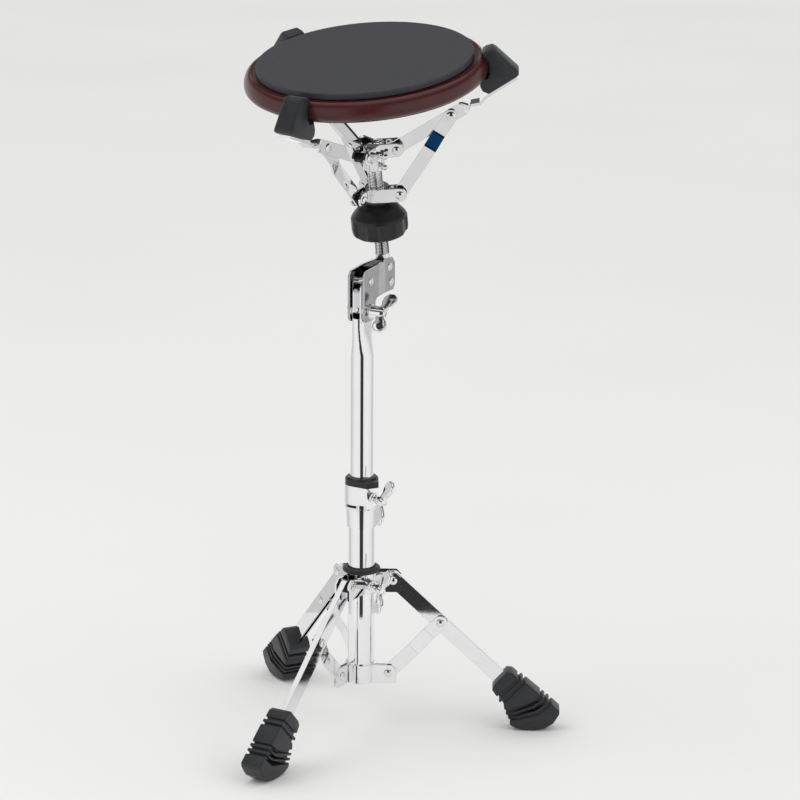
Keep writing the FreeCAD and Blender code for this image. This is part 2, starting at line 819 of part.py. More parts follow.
def make_upper_tube():
    inner = size("upper_tube_r") - size("upper_tube_wall")
    low, high = size("upper_tube_low_z"), size("flat_start_z")
    outer = size("upper_tube_r")
    straight = turning("upper_tube_round", ((inner, low), (outer, low), (outer, high), (inner, high)), STAND)
    outer_neck, outer_head = pressed_head(0.0)
    inner_neck, inner_head = pressed_head(SIZES["upper_tube_wall"])
    pressed = doc.addObject("Part::Feature", "upper_tube_pressed")
    pressed.Shape = outer_neck.cut(inner_neck).fuse(outer_head.cut(inner_head))
    pressed.Placement = STAND
    shoulder, top = size("head_shoulder_z"), size("head_top_z")
    wide, narrow = size("head_half_y") + 1.0, size("head_top_half_y")
    low_keep = size("upper_tube_low_z") - 1.0
    crown = (
        (-wide, low_keep),
        (wide, low_keep),
        (wide, shoulder),
        (narrow, top),
        (-narrow, top),
        (-wide, shoulder),
    )
    keep = plate("upper_tube_crown", crown, MASK_DEPTH, station(STAND, 90.0))
    solid = common("upper_tube_cropped", fuse("upper_tube_whole", [straight, pressed]), keep)
    slot_half = size("head_slot_half")
    slot = box(
        "upper_tube_slot",
        slot_half * 2.0,
        60.0,
        60.0,
        moved(-slot_half.value, -30.0, SIZES["head_slot_low_z"]),
    )
    hole = size("pivot_bolt_r") + size("gap")
    pivot = cylinder("upper_tube_pivot", hole, 40.0, across_x(-20.0, "tilt_pivot_z"))
    bolt = cylinder("upper_tube_bolt", hole, 40.0, across_x(-20.0, "tilt_bolt_z"))
    node("upper_tube", cut("upper_tube", solid, fuse("upper_tube_tools", [slot, pivot, bolt])))


def across_x(x, height_alias):
    """A frame whose z points along +X at a named height on the stand's centre line."""
    return moved(x, 0, SIZES[height_alias]).multiply(turned(Y_AXIS, 90.0))


# Tilter: two cheeks that straddle the tube head and grip the flattened foot of the rod.
CHEEK_OUTLINE = (
    (-13.2, 404.5),
    (-10.0, 401.0),
    (7.5, 401.0),
    (10.4, 405.0),
    (10.4, 417.5),
    (14.0, 420.8),
    (53.5, 420.8),
    (57.3, 425.0),
    (57.3, 446.0),
    (51.5, 452.4),
    (18.0, 451.0),
    (-9.5, 449.0),
    (-13.2, 444.5),
)


def cheek_slot():
    """Curved slot for the clamp bolt, swept round the tilt pivot."""
    centre = FreeCAD.Vector(0, 0, SIZES["tilt_pivot_z"])
    radius = SIZES["tilt_pivot_z"] - SIZES["tilt_bolt_z"]
    half = SIZES["cheek_slot_half"]
    start, end = -90.0 - 17.5, -90.0 + 11.5
    sector = Part.makeCylinder(radius + half, 60.0, centre, X_AXIS, 360.0)
    sector = sector.cut(Part.makeCylinder(radius - half, 60.0, centre, X_AXIS, 360.0))
    reach = 80.0
    edges = []
    for angle in (start, end):
        turn = math.radians(angle)
        edges.append(centre + FreeCAD.Vector(0, math.cos(turn), math.sin(turn)) * reach)
    wedge = Part.Face(Part.makePolygon([centre, edges[0], edges[1], centre])).extrude(X_AXIS * 60.0)
    slot = sector.common(wedge)
    for angle in (start, end):
        turn = math.radians(angle)
        spot = centre + FreeCAD.Vector(0, math.cos(turn), math.sin(turn)) * radius
        slot = slot.fuse(Part.makeCylinder(half, 60.0, spot, X_AXIS))
    item = doc.addObject("Part::Feature", "cheek_slot")
    item.Shape = slot
    item.Placement = moved(-30.0, 0, 0)
    return item


def make_cheeks():
    sheet_size = size("cheek_sheet")
    wide = size("head_half_x") + size("gap") + sheet_size / 2.0
    narrow = size("cheek_narrow_half") + sheet_size / 2.0
    thick = sheet_size / 2.0
    start, bend_start, bend_end, end = -20.0, size("cheek_bend_start"), size("cheek_bend_end"), 70.0
    flank = station(STAND, 90.0)
    hole = size("pivot_bolt_r") + size("gap")
    pivot_hole = cylinder("cheek_pivot", hole, 40.0, across_x(-20.0, "tilt_pivot_z"))
    rod_holes = []
    for label, height in (("high", SIZES["rod_rivet_high"]), ("low", SIZES["rod_rivet_low"])):
        place = ROD.multiply(moved(-20.0, 0, height)).multiply(turned(Y_AXIS, 90.0))
        rod_holes.append(cylinder("cheek_rivet_" + label, 2.5, 40.0, place))
    tools = fuse("cheek_tools", [pivot_hole, cheek_slot()] + rod_holes)
    for label, sign in (("front", 1.0), ("rear", -1.0)):
        name = "tilter_cheek_" + label
        outline = plate(name + "_outline", CHEEK_OUTLINE, 40.0, flank)
        ribbon_points = (
            (wide * sign - thick, start),
            (wide * sign + thick, start),
            (wide * sign + thick, bend_start),
            (narrow * sign + thick, bend_end),
            (narrow * sign + thick, end),
            (narrow * sign - thick, end),
            (narrow * sign - thick, bend_end),
            (wide * sign - thick, bend_start),
        )
        ribbon = plate(name + "_ribbon", ribbon_points, 60.0, moved(0, 0, 395.0), centred=False)
        node(name, cut(name, common(name + "_bent", ribbon, outline), tools))


# Side outline of the packing between the cheeks, as (y, z): the rod's foot sits in front of it.
LINER_OUTLINE = (
    (18.0, 424.0),
    (36.5, 424.0),
    (36.5, 449.0),
    (34.0, 451.8),
    (9.0, 450.4),
    (9.0, 449.4),
    (18.0, 446.0),
)


def make_tilter_small_parts():
    half = size("head_half_x") + size("gap") + size("cheek_sheet") + 0.02
    rise = size("head_rise")
    hinge = across_x(0.0, "tilt_pivot_z")
    bolt = pin("tilter_pivot_bolt", -half, half, size("pivot_bolt_r"), size("head_r"), rise, hinge)
    node("tilter_pivot_bolt", bolt)
    rivets = []
    narrow = size("cheek_narrow_half") + size("cheek_sheet") + 0.02
    for label, height in (("high", SIZES["rod_rivet_high"]), ("low", SIZES["rod_rivet_low"])):
        place = ROD.multiply(moved(0, 0, height)).multiply(turned(Y_AXIS, 90.0))
        rivets.append(pin("rod_rivet_" + label, -narrow, narrow, 2.45, 4.2, rise, place))
    node("tilter_rod_rivets", group("tilter_rod_rivets", rivets))
    liner_width = (size("cheek_narrow_half") - size("gap")) * 2.0
    node("tilter_liner", plate("tilter_liner", LINER_OUTLINE, liner_width, station(STAND, 90.0)))
    seat = across_x(half.value, "tilt_bolt_z")
    wing_bolt("tilter_wing_bolt", stout_barrel(half * 2.0 + 6.0), 10.0, 17.0, seat, -50.0)
    nut_place = across_x(-half.value - 5.0, "tilt_bolt_z")
    nut_bore = size("bolt_thread_r") + size("gap")
    node("tilter_clamp_nut", hex_nut("tilter_clamp_nut", nut_bore, 5.2, 5.0, nut_place))


def hex_nut(name, bore, half_flats, height, place):
    corner = half_flats / math.cos(math.radians(30.0))
    points = []
    for index in range(6):
        turn = math.radians(60.0 * index)
        points.append((corner * math.cos(turn), corner * math.sin(turn)))
    return plate(name, points, height, place, ((0.0, 0.0, bore),), centred=False)


# Rod, knob and the two hubs, all in the rod frame.
def make_rod():
    low, high, radius = size("rod_low"), size("rod_top"), size("rod_r")
    flat_top = size("rod_flat_top")
    chamfer = 1.2
    round_part = turning(
        "basket_rod_round",
        ((0.0, low), (radius, low), (radius, high - chamfer), (radius - chamfer, high), (0.0, high)),
        ROD,
    )
    tools = []
    flat = SIZES["rod_flat_half"]
    for label, corner in (("front", flat), ("rear", -flat - 10.0)):
        place = ROD.multiply(moved(corner, -10.0, SIZES["rod_low"] - 1.0))
        tools.append(box("basket_rod_flat_" + label, 10.0, 20.0, flat_top - low + 1.0, place))
    for label, height in (("high", SIZES["rod_rivet_high"]), ("low", SIZES["rod_rivet_low"])):
        place = ROD.multiply(moved(-20.0, 0, height)).multiply(turned(Y_AXIS, 90.0))
        tools.append(cylinder("basket_rod_hole_" + label, 2.5, 40.0, place))
    node("basket_rod", cut("basket_rod", round_part, fuse("basket_rod_tools", tools)))


def make_knob():
    bore = size("rod_r") + size("gap")
    low, high, radius = size("knob_low"), size("knob_high"), size("knob_r")
    waist_top = high - 14.5
    points = (
        (bore, low),
        (radius - 5.5, low),
        (radius - 1.5, low + 3.0),
        (radius, low + 6.0),
        (radius, waist_top),
        (radius - 1.6, high - 10.0),
        (radius - 5.0, high - 5.5),
        (radius - 9.5, high - 2.0),
        (radius - 13.5, high),
        (bore, high),
    )
    blank = turning("adjusting_knob_blank", points, ROD)
    floor, half = radius - size("knob_recess_depth"), size("knob_recess_half")
    outline = ((floor, -half), (floor + 4.0, -half - 3.6), (floor + 4.0, half + 3.6), (floor, half))
    recesses = []
    for index in range(6):
        place = ROD.multiply(turned(Z_AXIS, 60.0 * index + SIZES["knob_recess_heading"]))
        place = place.multiply(moved(0, 0, SIZES["knob_low"] - 1.0))
        recesses.append(plate("knob_recess_%d" % index, outline, waist_top - low + 1.0, place, centred=False))
    node("adjusting_knob", cut("adjusting_knob", blank, fuse("knob_recesses", recesses)))
    top = high + size("gap")
    washer_top = size("strut_pin_h") - size("hub_half_height") - size("gap")
    node("knob_washer", washer("knob_washer", bore, size("washer_r"), top, washer_top, ROD))


def hub_solid(name, middle_w, pin_radius, pin_h, lug_w, core_top):
    half = size("hub_half_height")
    core_low = pin_h - half
    core_place = ROD.multiply(moved(0, 0, core_low.value))
    parts = [cylinder(name + "_core", size("hub_core_r"), core_top - core_low, core_place)]
    for side, turn in zip(LEG_SIDES, ARM_TURNS):
        for label, sign in (("near", 1.0), ("far", -1.0)):
            across = middle_w + sign * lug_w
            place = station(ROD, arm_heading(turn), 0.0, pin_h.value, across)
            hole = ((pin_radius, size("pin_r") + size("gap")),)
            lug_name = "%s_lug_%s_%s" % (name, side, label)
            parts.append(bar(lug_name, 4.0, pin_radius, half, size("hub_lug_sheet"), place, hole))
    return parts


def make_upper_hub():
    pin_h, core_top = size("arm_pin_h"), size("upper_core_top")
    collar_low = size("upper_collar_low")
    collar_place = ROD.multiply(moved(0, 0, collar_low.value))
    middle, lug_w = SIZES["arm_plane_w"], SIZES["upper_lug_w"]
    parts = hub_solid("upper_hub", middle, size("arm_pin_radius"), pin_h, lug_w, core_top)
    parts.append(cylinder("upper_hub_collar", size("upper_collar_r"), core_top - collar_low, collar_place))
    boss_r = size("key_bolt_r") + 0.4
    parts.append(cylinder("upper_hub_boss", boss_r, KEY_BOLTS[0][1] - 8.0, key_place(0, 8.0)))
    pocket_place = ROD.multiply(moved(0, 0, core_top.value))
    tools = [
        cylinder("upper_hub_bore", size("rod_r") + 0.01, 60.0, ROD.multiply(moved(0, 0, 80.0))),
        cylinder("upper_hub_pocket", size("nut_pocket_r"), 20.0, pocket_place),
    ]
    for index in range(len(KEY_BOLTS)):
        place = key_place(index, 5.0)
        tools.append(cylinder("upper_hub_key_%d" % index, KEY_SHANK_R + 0.05, 20.0, place))
    node("upper_hub", cut("upper_hub", fuse("upper_hub_solid", parts), fuse("upper_hub_tools", tools)))


# Key bolts of the upper hub as (height along the rod, radius of the seat).
KEY_BOLTS = ((110.5, 13.1), (99.5, 10.7))
KEY_SHANK_R = 1.95


def key_place(index, radius):
    return radial_place(ROD, SIZES["key_bolt_heading"], radius, KEY_BOLTS[index][0])


def make_key_bolts():
    bolts = []
    for index, (_, seat) in enumerate(KEY_BOLTS):
        points = (
            (0.0, 7.1),
            (KEY_SHANK_R, 7.1),
            (KEY_SHANK_R, seat + 0.02),
            (size("key_bolt_r") + 0.6, seat + 0.02),
            (size("key_bolt_r") + 0.6, seat + 1.2),
            (size("key_bolt_r") - 0.6, seat + 2.0),
            (size("key_bolt_r") - 0.6, seat + 3.2),
            (size("key_bolt_r"), seat + 4.4),
            (size("key_bolt_r"), seat + 6.6),
            (size("key_bolt_r") - 1.2, seat + 8.2),
            (0.0, seat + 8.6),
        )
        bolts.append(turning("key_bolt_%d" % index, points, key_place(index, 0.0)))
    node("upper_hub_key_bolts", group("upper_hub_key_bolts", bolts))


def make_lower_hub():
    pin_h = size("strut_pin_h")
    core_top = pin_h + size("hub_half_height")
    middle, lug_w = SIZES["strut_plane_w"], SIZES["lower_lug_w"]
    parts = hub_solid("lower_hub", middle, size("strut_pin_radius"), pin_h, lug_w, core_top)
    bore = cylinder("lower_hub_bore", size("rod_r") + size("gap"), 60.0, ROD.multiply(moved(0, 0, 40.0)))
    node("lower_hub", cut("lower_hub", fuse("lower_hub_solid", parts), bore))


def make_rod_nut():
    """Nut sunk between the upper hub's lugs, on top of its core."""
    seat = size("upper_core_top") + 0.02
    place = ROD.multiply(moved(0, 0, seat.value)).multiply(turned(Z_AXIS, 12.0))
    bore = SIZES["rod_r"] + 0.01
    node("rod_end_nut", hex_nut("rod_end_nut", bore, SIZES["nut_half_flats"], 3.6, place))


def pin_group(name, pin_radius, pin_h, middle_w, lug_w):
    pins = []
    stack = as_size(lug_w) + size("hub_lug_sheet") / 2.0 + 0.02
    pin_r, head_r, rise = size("pin_r"), size("head_r"), size("head_rise")
    for side, turn in zip(LEG_SIDES, ARM_TURNS):
        place = station(ROD, arm_heading(turn), SIZES[pin_radius], SIZES[pin_h], SIZES[middle_w])
        pins.append(pin("%s_%s" % (name, side), -stack, stack, pin_r, head_r, rise, place))
    node(name, group(name, pins))


def spacer_group(name, pin_radius, pin_h, middle_w, lug_w, sheet_alias):
    spacers = []
    inner = size(sheet_alias) / 2.0 + size("gap")
    outer = as_size(lug_w) - size("hub_lug_sheet") / 2.0 - size("gap")
    bore = size("pin_r") + size("gap")
    for side, turn in zip(LEG_SIDES, ARM_TURNS):
        place = station(ROD, arm_heading(turn), SIZES[pin_radius], SIZES[pin_h], SIZES[middle_w])
        spacers.append(washer("%s_near_%s" % (name, side), bore, 4.6, inner, outer, place))
        spacers.append(washer("%s_far_%s" % (name, side), bore, 4.6, -outer, -inner, place))
    node(name, group(name, spacers))


# Arms: an upright strap from the hub, a quarter twist, then a flat tip that carries the grip.
def arm_place(turn, across=0.0):
    plane = SIZES["arm_plane_w"] + across
    return station(
        ROD, arm_heading(turn), SIZES["arm_pin_radius"], SIZES["arm_pin_h"], plane, -SIZES["arm_slope"]
    )


def twist_section(x, degrees):
    """Rectangle across the arm at x, turned about the arm's own axis."""
    long_half, short_half = SIZES["tip_half_width"], SIZES["tip_sheet"] / 2
    turn = math.radians(degrees)
    up = FreeCAD.Vector(0, math.cos(turn), math.sin(turn))
    side = FreeCAD.Vector(0, -math.sin(turn), math.cos(turn))
    centre = FreeCAD.Vector(x, 0, 0)
    corners = []
    for long_sign, short_sign in ((1, 1), (1, -1), (-1, -1), (-1, 1)):
        corners.append(centre + up * (long_half * long_sign) + side * (short_half * short_sign))
    return Part.makePolygon(corners + [corners[0]])


def make_arm(side, turn):
    name = "arm_" + side
    place = arm_place(turn)
    half = size("arm_half_width")
    hole = size("pin_r") + size("gap")
    elbow = size("elbow_pin_r") + size("gap")
    strap_end, shank_end = size("arm_strip_end") - 8.0, size("arm_strip_end") + 0.2
    holes = ((0.0, hole), (size("arm_rivet_x"), elbow))
    strap = bar(name + "_strap", 0.0, strap_end, half, size("arm_sheet"), place, holes)
    corners = ((strap_end, -half), (shank_end, -half), (shank_end, half), (strap_end, half))
    shank = plate(name + "_shank", corners, size("arm_sheet"), place)
    start, end = SIZES["arm_strip_end"], SIZES["arm_twist_end"]
    sections = []
    for step in range(4):
        share = step / 3.0
        sections.append(twist_section(start + (end - start) * share, 90.0 * share))
    twist = doc.addObject("Part::Feature", name + "_twist")
    twist.Shape = Part.makeLoft(sections, True, True)
    twist.Placement = place
    upright = station(ROD, arm_heading(turn), across=SIZES["arm_plane_w"])
    tip = plate(name + "_tip", tip_outline(), size("tip_half_width") * 2.0, upright)
    node(name, fuse(name, [strap, shank, twist, tip]))


# Corners of the tip strip's centre line, as (radius, height along the rod).
TIP_LINE = ((102.8, 152.9), (109.0, 158.9), (137.9, 175.0))


def tip_outline():
    slope = math.radians(SIZES["arm_slope"])
    reach = SIZES["arm_twist_end"] - 0.2
    line = [
        (SIZES["arm_pin_radius"] + reach * math.cos(slope), SIZES["arm_pin_h"] + reach * math.sin(slope)),
    ] + list(TIP_LINE)
    return ribbon_outline(line, SIZES["tip_sheet"] / 2)


def ribbon_outline(line, half):
    """Both sides of a centre line, each corner offset along the mean of its neighbours' normals."""
    normals = []
    for (x0, y0), (x1, y1) in zip(line, line[1:]):
        length = math.hypot(x1 - x0, y1 - y0)
        normals.append(((y0 - y1) / length, (x1 - x0) / length))
    upper, lower = [], []
    for index, (x, y) in enumerate(line):
        before = normals[max(index - 1, 0)]
        after = normals[min(index, len(normals) - 1)]
        nx, ny = before[0] + after[0], before[1] + after[1]
        scale = 2 * half / (nx * nx + ny * ny)
        upper.append((x + nx * scale, y + ny * scale))
        lower.append((x - nx * scale, y - ny * scale))
    return lower + upper[::-1]


def strut_geometry():
    slope = math.radians(SIZES["arm_slope"])
    elbow_r = SIZES["arm_pin_radius"] + SIZES["arm_rivet_x"] * math.cos(slope)
    elbow_h = SIZES["arm_pin_h"] + SIZES["arm_rivet_x"] * math.sin(slope)
    run = elbow_r - SIZES["strut_pin_radius"]
    rise = elbow_h - SIZES["strut_pin_h"]
    return math.hypot(run, rise), -math.degrees(math.atan2(rise, run))


def make_strut(side, turn):
    length, slope = strut_geometry()
    place = station(ROD, arm_heading(turn), SIZES["strut_pin_radius"], SIZES["strut_pin_h"], 0.0, slope)
    sheet_size = size("strut_sheet")
    high_w = size("arm_plane_w") + size("arm_sheet") / 2.0 + size("gap") + sheet_size / 2.0
    item = joggled(
        "strut_" + side,
        as_size(length),
        size("strut_half_width"),
        sheet_size,
        size("strut_plane_w"),
        high_w,
        size("strut_bend_low_x"),
        size("strut_bend_high_x"),
        place,
        size("pin_r") + size("gap"),
        size("strut_eye_r"),
    )
    node("strut_" + side, item)


def make_elbow_rivet(side, turn):
    half = size("arm_sheet") / 2.0
    place = arm_place(turn).multiply(moved(SIZES["arm_rivet_x"], 0, 0))
    far = half + size("gap") + size("strut_sheet") + size("gap")
    name = "elbow_rivet_" + side
    item = pin(name, -half - 0.02, far, size("elbow_pin_r"), size("elbow_head_r"), size("head_rise"), place)
    node(name, item)


# Grip side outline as (radius, height along the rod): seat on the tip, back, hooked nose, throat, lip.
GRIP_OUTLINE = (
    (111.5, 162.6),
    (137.5, 176.8),
    (140.3, 179.2),
    (139.9, 182.2),
    (121.2, 202.8),
    (117.4, 205.4),
    (111.8, 203.6),
    (108.3, 201.4),
    (108.3, 200.2),
    (113.4, 193.6),
    (113.4, 182.6),
    (111.0, 178.0),
    (104.4, 177.2),
    (104.0, 170.0),
    (106.0, 165.4),
)


def make_grip(side, turn):
    name = "grip_" + side
    place = station(ROD, arm_heading(turn), across=SIZES["arm_plane_w"])
    node(name, plate(name, GRIP_OUTLINE, size("grip_width"), place))


# Pad: rubber disc on a turned wooden base with a thin mat underneath.
def make_pad():
    top, thick = size("pad_top_h"), size("pad_rubber_thick")
    radius = size("pad_rubber_r")
    rubber = turning(
        "pad_playing_rubber",
        ((0.0, top - thick), (radius, top - thick), (radius, top - 0.8), (radius - 0.8, top), (0.0, top)),
        ROD,
    )
    node("pad_playing_rubber", rubber)
    low, rim, deck = size("rim_low_h"), size("rim_r"), top - thick - 0.02
    profile = (
        (0.0, low),
        (rim - 6.6, low),
        (rim - 3.4, low + 1.6),
        (rim - 1.1, low + 4.2),
        (rim, low + 7.6),
        (rim - 0.4, low + 10.6),
        (rim - 1.9, low + 14.0),
        (rim - 4.2, low + 17.0),
        (rim - 6.4, deck),
        (0.0, deck),
    )
    node("pad_base_rim", turning("pad_base_rim", profile, ROD))
    mat_top = low - 0.02
    mat_low = mat_top - size("mat_thick")
    mat_r = size("mat_r")
    mat = turning("pad_bottom_mat", ((0.0, mat_low), (mat_r, mat_low), (mat_r, mat_top), (0.0, mat_top)), ROD)
    node("pad_bottom_mat", mat)


def build():
    make_lower_tube()
    make_leg_hub()
    make_brace_hub()
    make_stop_ring()
    make_hub_pins()
    for side, turn in zip(LEG_SIDES, LEG_TURNS):
        make_leg(side, turn)
        make_foot(side, turn)
        make_brace(side, turn)
        make_leg_rivet(side, turn)
    make_wing_bolts()
    make_clamp()
    make_upper_tube()
    make_cheeks()
    make_tilter_small_parts()
    make_rod()
    make_knob()
    make_upper_hub()
    make_key_bolts()
    make_lower_hub()
    make_rod_nut()
    for hub, linkage, lug_w, link in (
        ("upper_hub", "arm", SIZES["upper_lug_w"], "arm_sheet"),
        ("lower_hub", "strut", SIZES["lower_lug_w"], "strut_sheet"),
    ):
        at_pins = (linkage + "_pin_radius", linkage + "_pin_h", linkage + "_plane_w", lug_w)
        pin_group(hub + "_rivets", *at_pins)
        spacer_group(linkage + "_pivot_spacers", *at_pins, link)
    for side, turn in zip(LEG_SIDES, ARM_TURNS):
        make_arm(side, turn)
        make_grip(side, turn)
        make_strut(side, turn)
        make_elbow_rivet(side, turn)
    make_pad()


def check_and_write():
    doc.recompute()
    for item in doc.Objects:
        if "Invalid" in item.State or "Error" in item.State:
            raise RuntimeError("%s did not build: %s" % (item.Name, item.State))
    os.makedirs("parts", exist_ok=True)
    for label, item in NODES.items():
        if item.Shape.isNull() or not item.Shape.isValid():
            raise RuntimeError("%s has no valid shape" % label)
        item.Shape.exportStep("parts/%s.step" % label)


build()
check_and_write()
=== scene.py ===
import json
import math

import bmesh
import bpy
from mathutils import Matrix, Vector

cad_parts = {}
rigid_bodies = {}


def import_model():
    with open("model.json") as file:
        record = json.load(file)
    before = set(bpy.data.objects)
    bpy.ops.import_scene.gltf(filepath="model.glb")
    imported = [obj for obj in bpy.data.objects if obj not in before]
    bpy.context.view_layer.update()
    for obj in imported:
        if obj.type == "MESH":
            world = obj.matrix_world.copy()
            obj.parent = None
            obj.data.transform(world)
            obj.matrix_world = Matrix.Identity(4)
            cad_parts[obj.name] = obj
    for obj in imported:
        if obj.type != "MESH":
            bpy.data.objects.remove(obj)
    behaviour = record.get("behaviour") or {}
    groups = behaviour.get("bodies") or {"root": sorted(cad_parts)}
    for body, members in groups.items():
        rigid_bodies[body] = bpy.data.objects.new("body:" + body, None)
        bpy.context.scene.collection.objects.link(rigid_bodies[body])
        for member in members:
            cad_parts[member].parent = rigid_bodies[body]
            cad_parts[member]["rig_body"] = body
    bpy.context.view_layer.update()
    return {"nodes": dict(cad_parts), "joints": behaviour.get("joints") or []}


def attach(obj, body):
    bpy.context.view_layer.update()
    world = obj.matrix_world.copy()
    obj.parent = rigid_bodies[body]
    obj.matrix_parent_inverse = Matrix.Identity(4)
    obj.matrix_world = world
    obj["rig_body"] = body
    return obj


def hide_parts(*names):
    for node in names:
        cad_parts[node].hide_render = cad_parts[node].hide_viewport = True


# Looks of the practice pad and its stand. Pieces are drawn in millimetres in a local frame taken from the
# part's own joints, then set down in the row frame in metres.

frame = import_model()
JOINTS = {joint["name"]: joint for joint in frame["joints"]}
MM = 0.001
SIDES = ("a", "b", "c")


# ---------------------------------------------------------------- frames
def frame_from(origin, x_axis, y_axis, z_axis):
    matrix = Matrix((x_axis, y_axis, z_axis)).transposed().to_4x4()
    matrix.translation = origin
    return matrix


def joint_place(name, up):
    """Frame at a joint: z along its axis, y as near to up as that allows, x outwards from the middle."""
    z_axis = Vector(JOINTS[name]["axis"]).normalized()
    y_axis = (Vector(up) - z_axis * Vector(up).dot(z_axis)).normalized()
    return frame_from(Vector(JOINTS[name]["pos_m"]), y_axis.cross(z_axis), y_axis, z_axis)


def rod_place():
    """Frame of the basket rod: z up the rod, x along the tilter hinge, origin beside the tilt pivot."""
    axis = Vector(JOINTS["knob_turn"]["axis"]).normalized()
    point = Vector(JOINTS["knob_turn"]["pos_m"])
    pivot = Vector(JOINTS["tilt"]["pos_m"])
    origin = point + axis * (pivot - point).dot(axis)
    x_axis = Vector(JOINTS["tilt"]["axis"]).normalized()
    return frame_from(origin, x_axis, axis.cross(x_axis), axis)


UP = Vector((0, 0, 1))
STAND = Matrix.Identity(4)
ROD = rod_place()
ROD_UP = ROD.to_3x3() @ UP


def turn_z(degrees):
    return Matrix.Rotation(math.radians(degrees), 4, "Z")


def shift(x, y, z):
    return Matrix.Translation(Vector((x, y, z)) * MM)


def span(node, place=STAND):
    """Lowest and highest corner of a CAD node in a local frame, in millimetres."""
    inverse = place.inverted()
    points = [inverse @ vertex.co / MM for vertex in frame["nodes"][node].data.vertices]
    low = Vector([min(point[k] for point in points) for k in range(3)])
    high = Vector([max(point[k] for point in points) for k in range(3)])
    return low, high


# ---------------------------------------------------------------- materials
def new_material(name):
    material = bpy.data.materials.new(name)
    material.use_nodes = True
    tree = material.node_tree
    shader = next(item for item in tree.nodes if item.type == "BSDF_PRINCIPLED")
    return material, tree, shader


def add(tree, kind, inputs=None, **settings):
    item = tree.nodes.new("ShaderNode" + kind)
    for key, value in settings.items():
        setattr(item, key, value)
    for socket, value in (inputs or {}).items():
        if isinstance(value, bpy.types.NodeSocket):
            tree.links.new(value, item.inputs[socket])
        else:
            item.inputs[socket].default_value = value
    return item


def noise(tree, scale, detail=3.0, roughness=0.5, stretch=None):
    """Noise by place in the row frame; scale is in features per metre."""
    where = add(tree, "TexCoord").outputs["Object"]
    if stretch:
        where = add(tree, "Mapping", {"Vector": where, "Scale": stretch}).outputs["Vector"]
    inputs = {"Vector": where, "Scale": scale, "Detail": detail, "Roughness": roughness}
    return add(tree, "TexNoise", inputs).outputs["Fac"]


def spread(tree, value, low, high):
    """Noise stretched to run from low to high."""
    inputs = {"Value": value, "From Min": 0.3, "From Max": 0.7, "To Min": low, "To Max": high}
    return add(tree, "MapRange", inputs).outputs["Result"]


def shade(tree, value, low, high):
    """Colour between low and high by a value."""
    share = spread(tree, value, 0.0, 1.0)
    mix = add(tree, "Mix", data_type="RGBA")
    tree.links.new(share, mix.inputs["Factor"])
    mix.inputs["A"].default_value = (*low, 1.0)
    mix.inputs["B"].default_value = (*high, 1.0)
    return mix.outputs["Result"]


def bump(tree, height, distance, strength):
    inputs = {"Height": height, "Distance": distance, "Strength": strength}
    return add(tree, "Bump", inputs).outputs["Normal"]


def put(tree, shader, **values):
    """Sets or links a shader's inputs, named with underscores for spaces."""
    for key, value in values.items():
        socket = shader.inputs[key.replace("_", " ")]
        if isinstance(value, bpy.types.NodeSocket):
            tree.links.new(value, socket)
        elif isinstance(value, tuple):
            socket.default_value = (*value, 1.0)
        else:
            socket.default_value = value


# Painted shade in a thin dark line beside a sheet edge: its width in metres, its strength and its colour.
EDGE_WIDTH = 0.0007
EDGE_DEPTH = 0.62
EDGE_TONE = (0.10, 0.10, 0.11)


def edge_shadow(tree, tone):
    """Paints shade: darkens a colour in a thin line beside each sheet edge and fold."""
    soft = add(tree, "Bevel", {"Radius": EDGE_WIDTH}).outputs[0]
    flat = add(tree, "NewGeometry").outputs["True Normal"]
    match = add(tree, "VectorMath", {0: soft, 1: flat}, operation="DOT_PRODUCT").outputs["Value"]
    inputs = {"Value": match, "From Min": 0.985, "From Max": 0.86, "To Min": 0.0, "To Max": EDGE_DEPTH}
    mask = add(tree, "MapRange", inputs).outputs[0]
    mix = add(tree, "Mix", data_type="RGBA")
    tree.links.new(mask, mix.inputs["Factor"])
    tree.links.new(tone, mix.inputs["A"])
    mix.inputs["B"].default_value = (*EDGE_TONE, 1.0)
    return mix.outputs["Result"]


def chrome(name, low, high, rough_low, rough_high, grain=0.00002, edged=False):
    """Bright plating: faint clouding, finger-dulled patches and fine polishing marks."""
    material, tree, shader = new_material(name)
    cloud = noise(tree, 60.0, 4.0, 0.6)
    marks = noise(tree, 900.0, 2.0, 0.7)
    tone = shade(tree, cloud, low, high)
    put(
        tree,
        shader,
        Base_Color=edge_shadow(tree, tone) if edged else tone,
        Metallic=1.0,
        Roughness=spread(tree, cloud, rough_low, rough_high),
        Normal=bump(tree, marks, grain, 0.25),
    )
    return material


def rubber(name, low, high, rough_low, rough_high, pebble, depth, sheen=0.0):
    """Moulded rubber: pebbled skin, patchy bloom and a soft sheen."""
    material, tree, shader = new_material(name)
    bloom = noise(tree, 90.0, 5.0, 0.65)
    fine = noise(tree, pebble, 2.0, 0.6)
    put(
        tree,
        shader,
        Base_Color=shade(tree, bloom, low, high),
        Roughness=spread(tree, bloom, rough_low, rough_high),
        Specular_IOR_Level=0.45,
        Sheen_Weight=sheen,
        Sheen_Roughness=0.4,
        Normal=bump(tree, fine, depth, 0.6),
    )
    return material


def lacquer(name):
    """Satin red-brown lacquer over wood: long faint grain under a clear coat."""
    material, tree, shader = new_material(name)
    grain = noise(tree, 14.0, 6.0, 0.7, stretch=(1.0, 9.0, 9.0))
    pores = noise(tree, 420.0, 3.0, 0.7, stretch=(0.25, 1.0, 1.0))
    put(
        tree,
        shader,
        Base_Color=shade(tree, grain, (0.040, 0.0045, 0.0045), (0.066, 0.0080, 0.0075)),
        Roughness=spread(tree, grain, 0.26, 0.34),
        Coat_Weight=0.15,
        Coat_Roughness=0.2,
        Specular_IOR_Level=0.38,
        Normal=bump(tree, pores, 0.00003, 0.35),
    )
    return material


